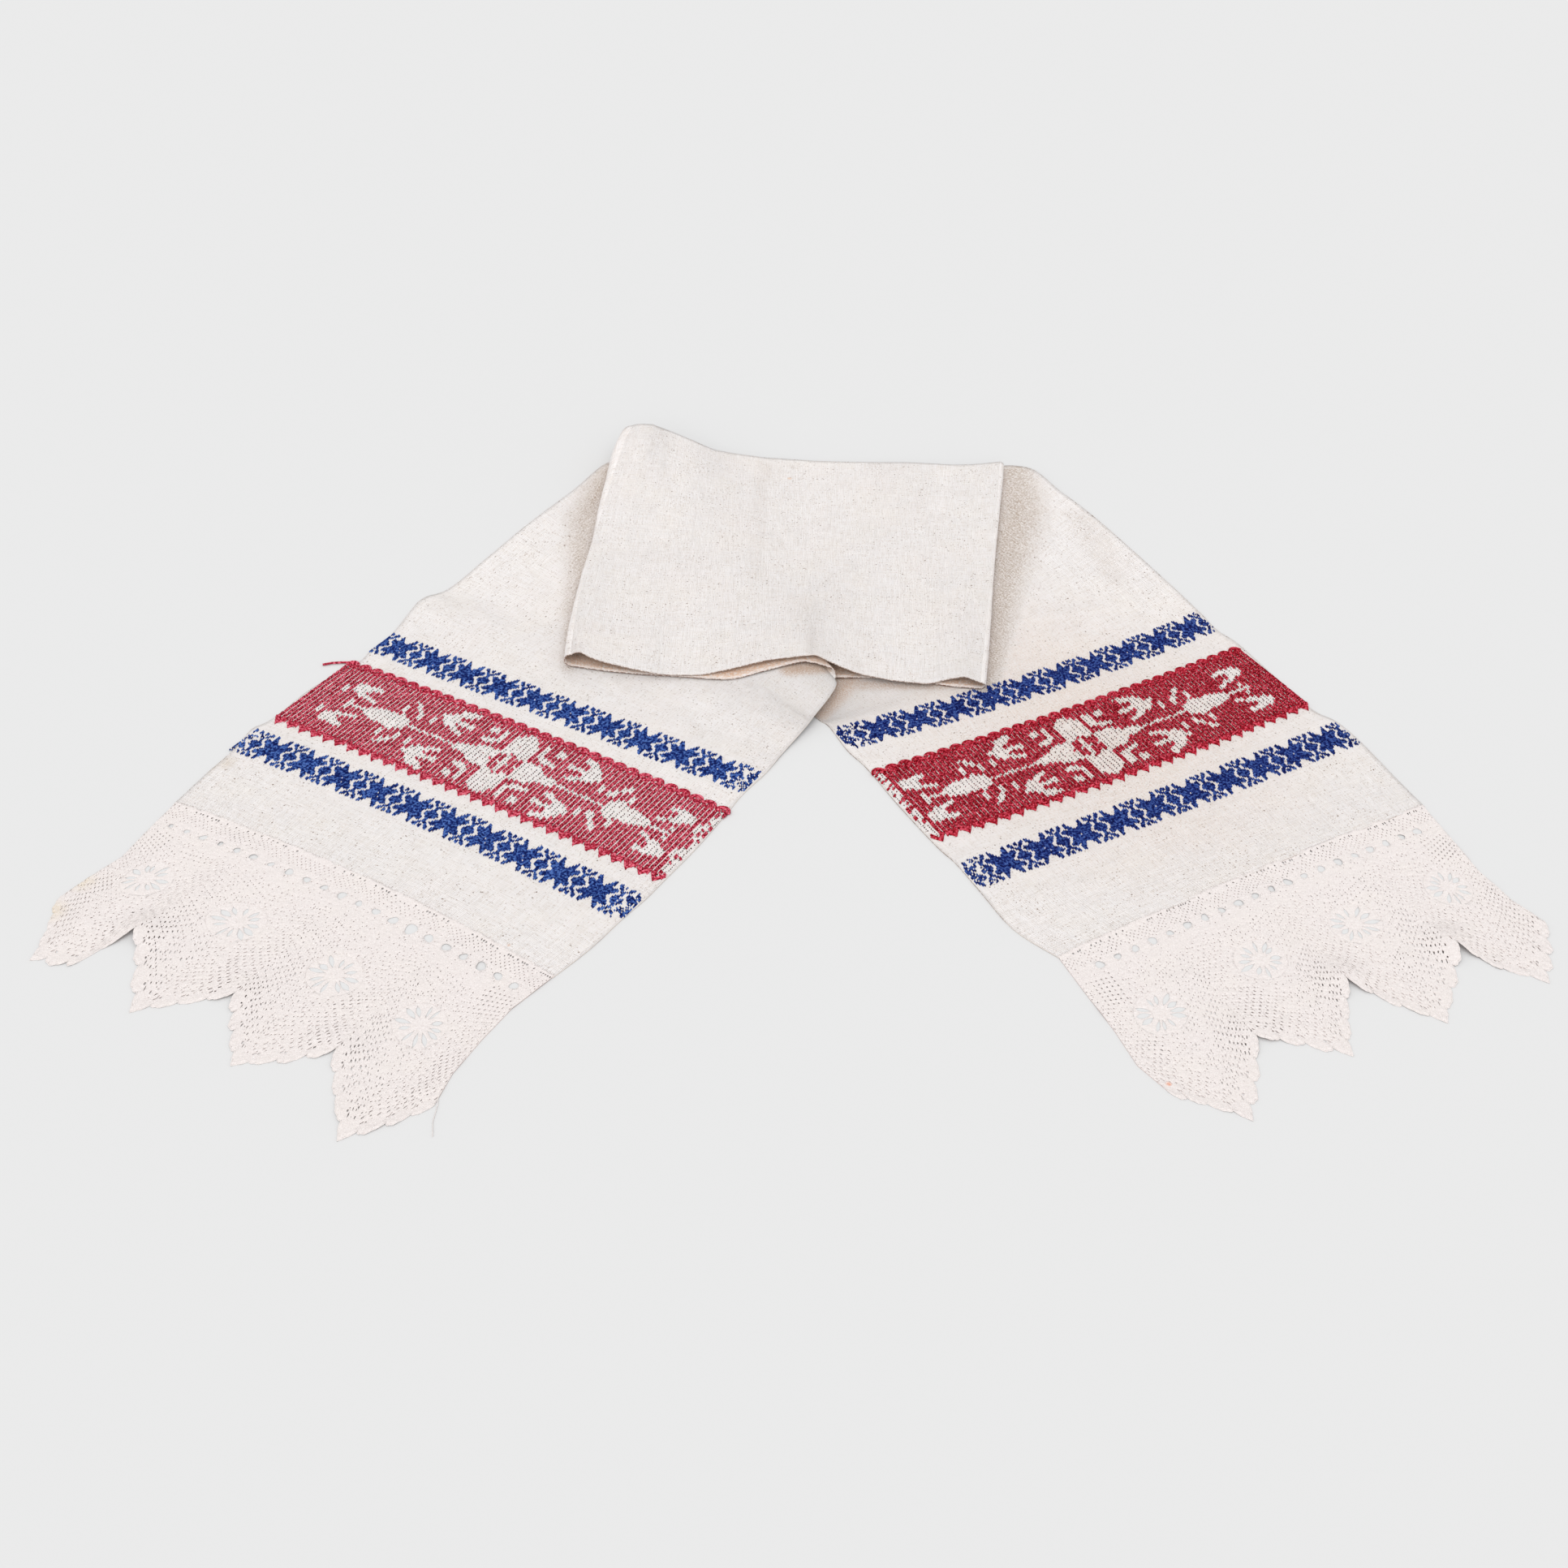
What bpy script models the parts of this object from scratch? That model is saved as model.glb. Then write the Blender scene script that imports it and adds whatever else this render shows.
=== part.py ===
"""A handwoven linen towel with deep crochet lace ends, lying folded on a flat surface.

The middle of the long strip is the top panel.  At each side of the panel the strip turns
under, runs back a short way, turns again on a slant and comes out as an arm.  The left
arm lies over the right one where they cross.  Metres, +Z up, front of the towel to -Y.
"""
import math

import bmesh
import bpy
from mathutils import Vector

# Sizes of the real thing.
CLOTH_THICKNESS = 0.0015
LACE_THICKNESS = 0.0015
SEAM_GAP = 0.0003
COLUMNS_ACROSS = 18
ARC_STEPS = 6
ROWS_BETWEEN = 2

# The crochet edging: repeats across, and distances down from the seam.
LACE_REPEATS = 4
SCALLOPS_PER_POINT = 7
STEPS_PER_SCALLOP = 4
SCALLOP_HEIGHT = 0.0042
PLACE_PER_METRE = LACE_REPEATS / 0.385
LACE_ROWS = (0.0, 0.30, 0.55, 0.80, 1.0)
EYELET_WIDTH = 0.0100
EYELET_HEIGHT = 0.0125
EYELET_SIDES = 8
PETALS = 12
PETAL_INNER = 0.0080
PETAL_OUTER = 0.0250
PETAL_WIDTH = 0.0062
# Half outline of a petal gap and back: share of its length, share of its width.
PETAL_SHAPE = ((0.0, -0.20), (0.45, -0.42), (0.85, -0.5), (1.0, 0.0), (0.85, 0.5), (0.45, 0.42),
               (0.0, 0.20))
CUTTER_BOTTOM = -0.01
CUTTER_TOP = 0.03

# The towel's own frame is shifted so that its footprint is centred on the origin.
SHIFT_X = -0.0043
SHIFT_Y = 0.0045

FLOOR = CLOTH_THICKNESS / 2
UNDER = 0.00525

LINEN = (0.83, 0.79, 0.75)
COTTON = (0.86, 0.81, 0.79)

# Each arm has a frame on the floor: u runs across the strip, v down it to the lace.
# name, origin x, origin y, turn of u from +X in degrees
ARM_FRAMES = {
    "left": (-0.3118, 0.2242, -31.65),
    "right": (-0.0083, 0.0590, 28.52),
}

# Sections of the left arm, from the bend under the panel to the seam.
# name, back u, back v, back z, middle u, middle v, middle z, front u, front v, front z
LEFT_ARM = (
    ("bend", 0.0245, -0.2686, FLOOR, 0.205, -0.157, FLOOR, 0.3909, -0.0363, 0.0098),
    ("turn", -0.0110, -0.2527, 0.0030, 0.195, -0.135, FLOOR, 0.3976, -0.0282, 0.0100),
    ("shoulder", -0.0105, -0.1900, 0.0014, 0.196, -0.095, FLOOR, 0.4016, -0.0071, 0.0098),
    ("over the other arm", -0.0110, -0.1200, FLOOR, 0.197, -0.049, FLOOR, 0.4037, 0.0203, 0.0090),
    ("coming down", -0.0070, -0.0480, FLOOR, 0.198, -0.010, FLOOR, 0.4038, 0.0297, 0.0070),
    ("almost down", -0.0035, 0.0200, FLOOR, 0.198, 0.026, FLOOR, 0.4034, 0.0443, 0.0045),
    ("down", -0.0140, 0.0490, FLOOR, 0.197, 0.061, FLOOR, 0.4030, 0.0691, 0.0016),
    ("upper blue top", -0.0006, 0.1060, FLOOR, 0.199, 0.1049, FLOOR, 0.4048, 0.1014, FLOOR),
    ("upper blue bottom", 0.0008, 0.1372, FLOOR, 0.200, 0.1360, FLOOR, 0.4036, 0.1352, FLOOR),
    ("red top", 0.0036, 0.1617, FLOOR, 0.201, 0.1568, FLOOR, 0.4055, 0.1599, FLOOR),
    ("red middle", -0.0056, 0.2107, FLOOR, 0.202, 0.2076, FLOOR, 0.4090, 0.2120, FLOOR),
    ("red bottom", -0.0040, 0.2640, FLOOR, 0.202, 0.2584, FLOOR, 0.4092, 0.2639, FLOOR),
    ("lower blue top", -0.0090, 0.2846, FLOOR, 0.202, 0.2816, FLOOR, 0.4092, 0.2868, FLOOR),
    ("lower blue bottom", -0.0020, 0.3127, FLOOR, 0.202, 0.3068, FLOOR, 0.4070, 0.3147, FLOOR),
    ("plain end", 0.0025, 0.3560, FLOOR, 0.203, 0.3460, FLOOR, 0.4055, 0.3560, FLOOR),
    ("seam", 0.0075, 0.3945, FLOOR, 0.203, 0.3845, FLOOR, 0.4000, 0.3965, FLOOR),
)

# Sections of the right arm, the same way round.  Its front edge is its left one.
RIGHT_ARM = (
    ("bend", 0.3711, -0.2309, FLOOR, 0.185, -0.1145, FLOOR, -0.0007, 0.0020, FLOOR),
    ("turn", 0.3928, -0.2196, 0.0030, 0.190, -0.1030, FLOOR, 0.0000, 0.0140, FLOOR),
    ("shoulder", 0.4080, -0.1990, 0.0036, 0.196, -0.0880, FLOOR, 0.0000, 0.0260, FLOOR),
    ("beside the panel", 0.4093, -0.1542, 0.0016, 0.200, -0.0580, FLOOR, 0.0000, 0.0380, FLOOR),
    ("slanting down", 0.4118, -0.1100, FLOOR, 0.203, -0.0310, FLOOR, 0.0006, 0.0490, FLOOR),
    ("corner of the crossing", 0.4100, -0.0600, FLOOR, 0.203, 0.0000, FLOOR, 0.0009, 0.0600, FLOOR),
    ("down", 0.4055, 0.0150, FLOOR, 0.202, 0.0490, FLOOR, 0.0025, 0.0700, FLOOR),
    ("upper blue top", 0.3990, 0.0901, FLOOR, 0.202, 0.0984, FLOOR, 0.0050, 0.0810, FLOOR),
    ("upper blue bottom", 0.3950, 0.1227, FLOOR, 0.202, 0.1298, FLOOR, 0.0020, 0.1183, FLOOR),
    ("red top", 0.3980, 0.1502, FLOOR, 0.200, 0.1568, FLOOR, 0.0041, 0.1465, FLOOR),
    ("red middle", 0.3945, 0.2040, FLOOR, 0.199, 0.2110, FLOOR, 0.0020, 0.2050, FLOOR),
    ("red bottom", 0.3915, 0.2620, FLOOR, 0.198, 0.2651, FLOOR, 0.0022, 0.2633, FLOOR),
    ("lower blue top", 0.3985, 0.2862, FLOOR, 0.198, 0.2907, FLOOR, 0.0045, 0.2870, FLOOR),
    ("lower blue bottom", 0.3975, 0.3203, FLOOR, 0.199, 0.3214, FLOOR, 0.0033, 0.3243, FLOOR),
    ("plain end", 0.3900, 0.3720, FLOOR, 0.198, 0.3690, FLOOR, 0.0021, 0.3750, FLOOR),
    ("seam", 0.3850, 0.4125, FLOOR, 0.200, 0.4115, FLOOR, 0.0150, 0.4190, FLOOR),
)

# Sections of the top panel from its left bend to its right bend.
# name, front x, front y, front z, middle x, middle y, middle z, back x, back y, back z
PANEL = (
    ("left bend", -0.1962, 0.0700, 0.0150, -0.1923, 0.265, 0.0098, -0.1640, 0.4740, 0.0310),
    ("raised corner", -0.1870, 0.0745, 0.0200, -0.1800, 0.265, 0.0100, -0.1550, 0.4720, 0.0340),
    ("corner roll", -0.1702, 0.0664, 0.0155, -0.1650, 0.260, 0.0100, -0.1420, 0.4700, 0.0345),
    ("hump falls", -0.1331, 0.0595, 0.0115, -0.1300, 0.260, 0.0098, -0.1230, 0.4660, 0.0285),
    ("hump foot", -0.1104, 0.0564, 0.0095, -0.1050, 0.260, 0.0095, -0.1000, 0.4585, 0.0220),
    ("low front", -0.0801, 0.0568, 0.0092, -0.0780, 0.258, 0.0095, -0.0780, 0.4535, 0.0140),
    ("front lifts", -0.0528, 0.0608, 0.0125, -0.0500, 0.255, 0.0092, -0.0560, 0.4520, 0.0100),
    ("before the crossing", -0.0210, 0.0689, 0.0160, -0.0200, 0.250, 0.0085, -0.0250, 0.4500, 0.0065),
    ("on the crossing", 0.0125, 0.0727, 0.0185, 0.0120, 0.250, 0.0078, 0.0100, 0.4465, 0.0058),
    ("crest", 0.0242, 0.0731, 0.0188, 0.0300, 0.250, 0.0078, 0.0350, 0.4440, 0.0056),
    ("past the crossing", 0.0401, 0.0620, 0.0176, 0.0500, 0.248, 0.0080, 0.0600, 0.4420, 0.0060),
    ("front drops", 0.0629, 0.0545, 0.0115, 0.0750, 0.246, 0.0086, 0.0900, 0.4390, 0.0070),
    ("second low front", 0.0914, 0.0476, 0.0092, 0.1050, 0.243, 0.0095, 0.1200, 0.4360, 0.0085),
    ("front sags", 0.1227, 0.0432, 0.0088, 0.1350, 0.240, 0.0098, 0.1500, 0.4310, 0.0100),
    ("second roll", 0.1367, 0.0460, 0.0105, 0.1500, 0.238, 0.0098, 0.1700, 0.4275, 0.0108),
    ("raised right corner", 0.1550, 0.0440, 0.0160, 0.1720, 0.236, 0.0098, 0.1950, 0.4265, 0.0122),
    ("right bend", 0.1690, 0.0375, 0.0145, 0.1950, 0.235, 0.0098, 0.2185, 0.4290, 0.0135),
)

# The hidden runs between the panel and each arm, from the panel's bend to the slanted one.
UNDER_LEFT = (
    ("panel bend", -0.2030, 0.0765, 0.0060, -0.1923, 0.265, UNDER, -0.1640, 0.4560, 0.0055),
    ("corner", -0.1687, 0.0679, 0.0060, -0.1650, 0.262, UNDER, -0.1600, 0.4540, UNDER),
    ("first third", -0.1355, 0.0623, 0.0060, -0.1450, 0.258, UNDER, -0.1575, 0.4515, UNDER),
    ("middle", -0.0959, 0.0579, 0.0060, -0.1220, 0.256, UNDER, -0.1550, 0.4490, UNDER),
    ("rising", -0.0529, 0.0532, 0.0068, -0.1000, 0.254, UNDER, -0.1535, 0.4460, UNDER),
    ("higher", -0.0211, 0.0630, 0.0095, -0.0850, 0.253, UNDER, -0.1520, 0.4440, UNDER),
    ("on the crossing", 0.0141, 0.0716, 0.0132, -0.0660, 0.251, UNDER, -0.1510, 0.4420, UNDER),
    ("slanted bend", 0.0375, 0.0600, 0.0140, -0.0545, 0.2505, UNDER, -0.1500, 0.4400, UNDER),
)
UNDER_RIGHT = (
    ("panel bend", 0.1690, 0.0405, 0.0057, 0.1950, 0.235, UNDER, 0.2185, 0.4300, 0.0055),
    ("corner", 0.1399, 0.0456, UNDER, 0.1780, 0.239, UNDER, 0.2150, 0.4330, 0.0055),
    ("middle", 0.1000, 0.0555, UNDER, 0.1550, 0.243, UNDER, 0.2125, 0.4360, 0.0055),
    ("far", 0.0489, 0.0582, 0.0050, 0.1250, 0.247, UNDER, 0.2100, 0.4380, 0.0055),
    ("slanted bend", -0.0080, 0.0569, 0.0045, 0.0998, 0.248, UNDER, 0.2075, 0.4390, UNDER),
)

# Lace edge without its fans: place in repeats, u, v in the arm's frame, and its lift there.
LEFT_POINTS = (
    (0.0, 0.0150, 0.5250, 0.0), (0.25, 0.0330, 0.5530, 0.0), (0.5, 0.0500, 0.5825, 0.0),
    (0.75, 0.0800, 0.5740, 0.0), (1.0, 0.0950, 0.5225, 0.0075), (1.25, 0.1200, 0.5445, 0.0),
    (1.5, 0.1556, 0.5825, 0.0), (1.75, 0.1820, 0.5600, 0.0), (2.0, 0.2090, 0.5335, 0.0020),
    (2.25, 0.2310, 0.5580, 0.0), (2.5, 0.2572, 0.5865, 0.0), (2.75, 0.2850, 0.5650, 0.0),
    (3.0, 0.3110, 0.5370, 0.0010), (3.25, 0.3370, 0.5680, 0.0), (3.5, 0.3700, 0.5985, 0.0),
    (3.75, 0.3910, 0.5700, 0.0), (4.0, 0.4060, 0.5430, 0.0),
)
RIGHT_POINTS = (
    (0.0, 0.0048, 0.5680, 0.0), (0.25, 0.0190, 0.5870, 0.0), (0.5, 0.0400, 0.6125, 0.0),
    (0.75, 0.0680, 0.5850, 0.0), (1.0, 0.0935, 0.5550, 0.0020), (1.25, 0.1180, 0.5735, 0.0),
    (1.5, 0.1431, 0.5975, 0.0), (1.75, 0.1670, 0.5690, 0.0), (2.0, 0.1903, 0.5395, 0.0070),
    (2.25, 0.2070, 0.5760, 0.0), (2.5, 0.2265, 0.6080, 0.0), (2.75, 0.2590, 0.5800, 0.0),
    (3.0, 0.2896, 0.5500, 0.0090), (3.25, 0.3010, 0.5840, 0.0), (3.5, 0.3230, 0.6105, 0.0),
    (3.75, 0.3480, 0.5880, 0.0), (4.0, 0.3690, 0.5640, 0.0),
)
# How far the first and last side of each lace stand in (+u) at its rows.
LEFT_SIDES = ((0.0, 0.0044, 0.0089, 0.0030, 0.0), (0.0, -0.0080, -0.0085, -0.0068, 0.0))
RIGHT_SIDES = ((0.0, -0.0018, -0.0026, -0.0062, 0.0), (0.0, -0.0052, -0.0092, -0.0074, 0.0))
# Flower centres of each lace: place in repeats and depth below the seam.
LEFT_FLOWERS = ((0.50, 0.0870), (1.50, 0.0915), (2.53, 0.0965), (3.40, 0.0990))
RIGHT_FLOWERS = ((0.46, 0.0885), (1.50, 0.0825), (2.50, 0.0870), (3.53, 0.0890))
# side, arm sections, edge points, side bows, flowers, eyelets: count, first, last, depth
LACES = (
    ("left", LEFT_ARM, LEFT_POINTS, LEFT_SIDES, LEFT_FLOWERS, (21, 0.168, 3.807, 0.0262)),
    ("right", RIGHT_ARM, RIGHT_POINTS, RIGHT_SIDES, RIGHT_FLOWERS, (20, 0.281, 3.740, 0.0240)),
)
LIFT_REACH = 0.030


def clear_scene():
    """Take out whatever the file holds."""
    for thing in list(bpy.data.objects):
        bpy.data.objects.remove(thing, do_unlink=True)


def cloth_material(name, colour):
    """A matt woven or knotted thread colour."""
    material = bpy.data.materials.new(name)
    material.use_nodes = True
    shader = material.node_tree.nodes["Principled BSDF"]
    shader.inputs["Base Color"].default_value = (*colour, 1.0)
    shader.inputs["Roughness"].default_value = 0.9
    return material


def on_arm(side, u, v, z):
    """A point given in an arm's frame, as a place in the towel's frame."""
    x, y, degrees = ARM_FRAMES[side]
    turn = math.radians(degrees)
    across = Vector((math.cos(turn), math.sin(turn), 0))
    down = Vector((math.sin(turn), -math.cos(turn), 0))
    return Vector((x + SHIFT_X, y + SHIFT_Y, z)) + across * u + down * v


def ease(t):
    """Zero slope at both ends."""
    return t * t * (3 - 2 * t)


def across_line(front, middle, back):
    """Points over the width: a smooth bow in plan, eased heights between the three."""
    line = []
    for column in range(COLUMNS_ACROSS + 1):
        t = column / COLUMNS_ACROSS
        point = (front * (1 - t) * (1 - 2 * t) + middle * 4 * t * (1 - t)
                 + back * t * (2 * t - 1))
        if t < 0.5:
            point.z = front.z + (middle.z - front.z) * ease(2 * t)
        else:
            point.z = middle.z + (back.z - middle.z) * ease(2 * t - 1)
        line.append(point)
    return line


def plan_lines(table):
    """Lines for a table that is given in the towel's frame."""
    shift = Vector((SHIFT_X, SHIFT_Y, 0))
    return [across_line(Vector(row[1:4]) + shift, Vector(row[4:7]) + shift,
                        Vector(row[7:10]) + shift) for row in table]


def arm_lines(side, table):
    """Lines for a table that is given in an arm's frame, back edge first in its rows."""
    return [across_line(on_arm(side, *row[7:10]), on_arm(side, *row[4:7]),
                        on_arm(side, *row[1:4])) for row in table]


def fill_between(lines):
    """Extra lines between the given ones, curved in plan and even in height."""
    filled = []
    for index in range(len(lines) - 1):
        before = lines[max(index - 1, 0)]
        here = lines[index]
        after = lines[index + 1]
        beyond = lines[min(index + 2, len(lines) - 1)]
        for step in range(ROWS_BETWEEN):
            t = step / ROWS_BETWEEN
            line = []
            for a, b, c, d in zip(before, here, after, beyond):
                point = (b * 2 + (c - a) * t + (a * 2 - b * 5 + c * 4 - d) * t * t
                         + (b * 3 - a - c * 3 + d) * t ** 3) * 0.5
                point.z = b.z + (c.z - b.z) * t
                line.append(point)
            filled.append(line)
    filled.append(lines[-1])
    return filled


def bend(upper, lower, outward):
    """Half-round turn from one layer's last line to the next layer's first line."""
    lines = []
    for step in range(1, ARC_STEPS):
        angle = math.pi * step / ARC_STEPS
        line = []
        for top, bottom in zip(upper, lower):
            radius = abs(top.z - bottom.z) / 2
            point = top.lerp(bottom, (1 - math.cos(angle)) / 2)
            line.append(point + outward * radius * math.sin(angle))
        lines.append(line)
    return lines


def outward_of(line, side_sign):
    """Level direction square to a line, to its left (1) or its right (-1)."""
    run = line[-1] - line[0]
    return Vector((-run.y, run.x, 0)).normalized() * side_sign


def sheet_object(name, lines, material):
    """An open sheet through the lines, one row of faces between each two."""
    width = len(lines[0])
    verts = [point[:] for line in lines for point in line]
    faces = []
    for row in range(len(lines) - 1):
        for column in range(width - 1):
            first = row * width + column
            faces.append((first, first + 1, first + 1 + width, first + width))
    mesh = bpy.data.meshes.new(name)
    mesh.from_pydata(verts, [], faces)
    mesh.materials.append(material)
    thing = bpy.data.objects.new(name, mesh)
    bpy.context.scene.collection.objects.link(thing)
    return thing


def thicken(thing, thickness):
    """Give a sheet its cloth thickness, half to each face."""
    solid = thing.modifiers.new("thickness", "SOLIDIFY")
    solid.thickness = thickness
    solid.offset = 0
    solid.use_even_offset = True
    solid.thickness_clamp = 0
    return solid


def towel_cloth():
    """The whole strip from one seam to the other, folded through all its layers."""
    left_arm = fill_between(arm_lines("left", LEFT_ARM))
    left_under = fill_between(plan_lines(UNDER_LEFT))
    panel = fill_between(plan_lines(PANEL))
    right_under = fill_between(plan_lines(UNDER_RIGHT))
    right_arm = fill_between(arm_lines("right", RIGHT_ARM))
    lines = list(reversed(left_arm))
    lines += reversed(bend(left_under[-1], left_arm[0], outward_of(left_arm[0], -1)))
    lines += reversed(left_under)
    lines += reversed(bend(panel[0], left_under[0], outward_of(panel[0], 1)))
    lines += panel
    lines += bend(panel[-1], right_under[0], outward_of(panel[-1], -1))
    lines += right_under
    lines += bend(right_under[-1], right_arm[0], outward_of(right_arm[0], 1))
    lines += right_arm
    cloth = sheet_object("towel_cloth", lines, cloth_material("linen", LINEN))
    thicken(cloth, CLOTH_THICKNESS)
    return cloth


def point_at(points, place):
    """u and v on the lace's outer edge, without its scallops."""
    for first, second in zip(points, points[1:]):
        if place <= second[0]:
            t = (place - first[0]) / (second[0] - first[0])
            return tuple(a + (b - a) * t for a, b in zip(first[1:3], second[1:3]))
    return points[-1][1:3]


def scallop(place):
    """How far the fans stand out from the edge line at a place along it."""
    return SCALLOP_HEIGHT * abs(math.sin(math.pi * place * SCALLOPS_PER_POINT))


def seam_at(table, place):
    """u and v on the seam, the same bow as the cloth's last section."""
    row = table[-1]
    ends = {"back": row[1:3], "middle": row[4:6], "front": row[7:9]}
    t = place / LACE_REPEATS
    if ends["back"][0] > ends["front"][0]:
        ends["back"], ends["front"] = ends["front"], ends["back"]
    return tuple(b * (1 - t) * (1 - 2 * t) + m * 4 * t * (1 - t) + f * t * (2 * t - 1)
                 for b, m, f in zip(ends["back"], ends["middle"], ends["front"]))


def side_bow(sides, place, share):
    """How far a point is drawn in by the waist of the nearer side."""
    bow = 0.0
    for bows, near in ((sides[0], max(0.0, 1 - place) ** 2),
                       (sides[1], max(0.0, place - LACE_REPEATS + 1) ** 2)):
        for row in range(len(LACE_ROWS) - 1):
            if LACE_ROWS[row] <= share <= LACE_ROWS[row + 1]:
                t = (share - LACE_ROWS[row]) / (LACE_ROWS[row + 1] - LACE_ROWS[row])
                bow += near * (bows[row] + (bows[row + 1] - bows[row]) * t)
                break
    return bow


def lace_place(lace, place, depth, share=None):
    """A point of the flat lace: place in repeats, depth in metres or as a share of all."""
    side, table, points, sides = lace[:4]
    seam_u, seam_v = seam_at(table, place)
    seam_v += SEAM_GAP
    edge_u, edge_v = point_at(points, place)
    if share is None:
        share = depth / math.hypot(edge_u - seam_u, edge_v - seam_v)
    u = seam_u + (edge_u - seam_u) * share + side_bow(sides, place, share)
    v = seam_v + (edge_v - seam_v) * share
    if share == 1.0:
        v += scallop(place)
    lift = 0.0
    for row in points:
        away = math.hypot(u - row[1], v - row[2]) / LIFT_REACH
        lift = max(lift, row[3] * ease(max(0.0, 1 - away)))
    return on_arm(side, u, v, LACE_THICKNESS / 2 + lift)


def prism(work, outline):
    """A closed upright prism over an outline, into a shared mesh."""
    low = [work.verts.new((p.x, p.y, CUTTER_BOTTOM)) for p in outline]
    high = [work.verts.new((p.x, p.y, CUTTER_TOP)) for p in outline]
    work.faces.new(list(reversed(low)))
    work.faces.new(high)
    for index in range(len(outline)):
        after = (index + 1) % len(outline)
        work.faces.new((low[index], low[after], high[after], high[index]))


def gap_outlines(lace):
    """Outlines of the eyelets and of the petal gaps round each flower's heart."""
    outlines = []
    flowers = lace[4]
    count, first, last, depth = lace[5]
    for index in range(count):
        place = first + (last - first) * index / (count - 1)
        ring = []
        for step in range(EYELET_SIDES):
            angle = 2 * math.pi * (step + 0.5) / EYELET_SIDES
            ring.append(lace_place(lace,
                                   place + EYELET_WIDTH / 2 * math.cos(angle) * PLACE_PER_METRE,
                                   depth + EYELET_HEIGHT / 2 * math.sin(angle)))
        outlines.append(ring)
    for place, depth in flowers:
        for petal in range(PETALS):
            angle = 2 * math.pi * (petal + 0.5) / PETALS
            ring = []
            for along, aside in PETAL_SHAPE:
                reach = PETAL_INNER + (PETAL_OUTER - PETAL_INNER) * along
                du = reach * math.cos(angle) - aside * PETAL_WIDTH * math.sin(angle)
                dv = reach * math.sin(angle) + aside * PETAL_WIDTH * math.cos(angle)
                ring.append(lace_place(lace, place + du * PLACE_PER_METRE, depth + dv))
            outlines.append(ring)
    return outlines


def gap_cutter(name, lace, collection):
    """All of one lace's gaps as one tool for the boolean cut."""
    work = bmesh.new()
    for outline in gap_outlines(lace):
        prism(work, outline)
    bmesh.ops.recalc_face_normals(work, faces=work.faces)
    mesh = bpy.data.meshes.new(name)
    work.to_mesh(mesh)
    work.free()
    cutter = bpy.data.objects.new(name, mesh)
    collection.objects.link(cutter)
    cutter.hide_render = True
    cutter.display_type = "WIRE"
    return cutter


def lace_edging(lace, collection):
    """One crochet edging: four scalloped points below an eyelet row and four flowers."""
    name = "lace_" + lace[0]
    material = cloth_material("cotton_" + lace[0], COTTON)
    columns = LACE_REPEATS * SCALLOPS_PER_POINT * STEPS_PER_SCALLOP
    lines = []
    for share in LACE_ROWS:
        lines.append([lace_place(lace, column * LACE_REPEATS / columns, 0, share)
                      for column in range(columns + 1)])
    edging = sheet_object(name, lines, material)
    thicken(edging, LACE_THICKNESS)
    cut = edging.modifiers.new("gaps", "BOOLEAN")
    cut.operation = "DIFFERENCE"
    cut.solver = "EXACT"
    cut.object = gap_cutter(name + "_gaps", lace, collection)
    return edging


def main():
    clear_scene()
    cutters = bpy.data.collections.new("cutters")
    bpy.context.scene.collection.children.link(cutters)
    towel_cloth()
    for lace in LACES:
        lace_edging(lace, cutters)


main()
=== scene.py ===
import math
import random
from collections import namedtuple
from itertools import product

import bpy
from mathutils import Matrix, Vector, noise


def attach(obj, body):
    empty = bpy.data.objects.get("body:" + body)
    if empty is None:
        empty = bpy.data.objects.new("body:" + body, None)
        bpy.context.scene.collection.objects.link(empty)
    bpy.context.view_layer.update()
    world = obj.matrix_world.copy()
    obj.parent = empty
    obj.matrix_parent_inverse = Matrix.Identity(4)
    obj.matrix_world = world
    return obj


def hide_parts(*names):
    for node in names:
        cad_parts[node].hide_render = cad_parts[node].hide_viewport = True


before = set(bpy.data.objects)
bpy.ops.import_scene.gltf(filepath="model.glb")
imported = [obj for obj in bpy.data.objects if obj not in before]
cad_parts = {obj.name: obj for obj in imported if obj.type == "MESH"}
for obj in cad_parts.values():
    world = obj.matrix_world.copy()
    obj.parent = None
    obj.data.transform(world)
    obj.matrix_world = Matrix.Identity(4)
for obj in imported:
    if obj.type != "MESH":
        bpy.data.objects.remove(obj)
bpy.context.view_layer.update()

# The towel is one handwoven strip of unbleached cotton and linen, 40 cm wide, without a hem at
# its sides.  It lies folded: the middle is the top panel, at each side of it the strip turns
# under, runs back, turns again on a slant and comes out as an arm.  The left arm lies on top.
CLOTH_WIDTH = 0.400
SHEET_THICKNESS = 0.0009
SHEET_COLUMNS = 84
ARC_ROWS = 10
ARM_SPACING = 0.0042
PANEL_SPACING = 0.0038
UNDER_SPACING = 0.008
CREASE_FADE = 0.3
# From the frame of the tables to the towel's, whose origin is the middle of its outline.
SHIFT_X = -0.0043
SHIFT_Y = 0.0045
# Heights of the cloth's middle where it lies on the floor, and where the arms lie under it.
FLOOR = 0.00055
UNDER = 0.00525

# Each arm has a frame on the floor: u runs across the strip, v down it to the lace.
# name, origin x, origin y, turn of u from +X in degrees
ARM_FRAMES = {
    "left": (-0.3118, 0.2242, -31.65),
    "right": (-0.0083, 0.0590, 28.52),
}

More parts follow.
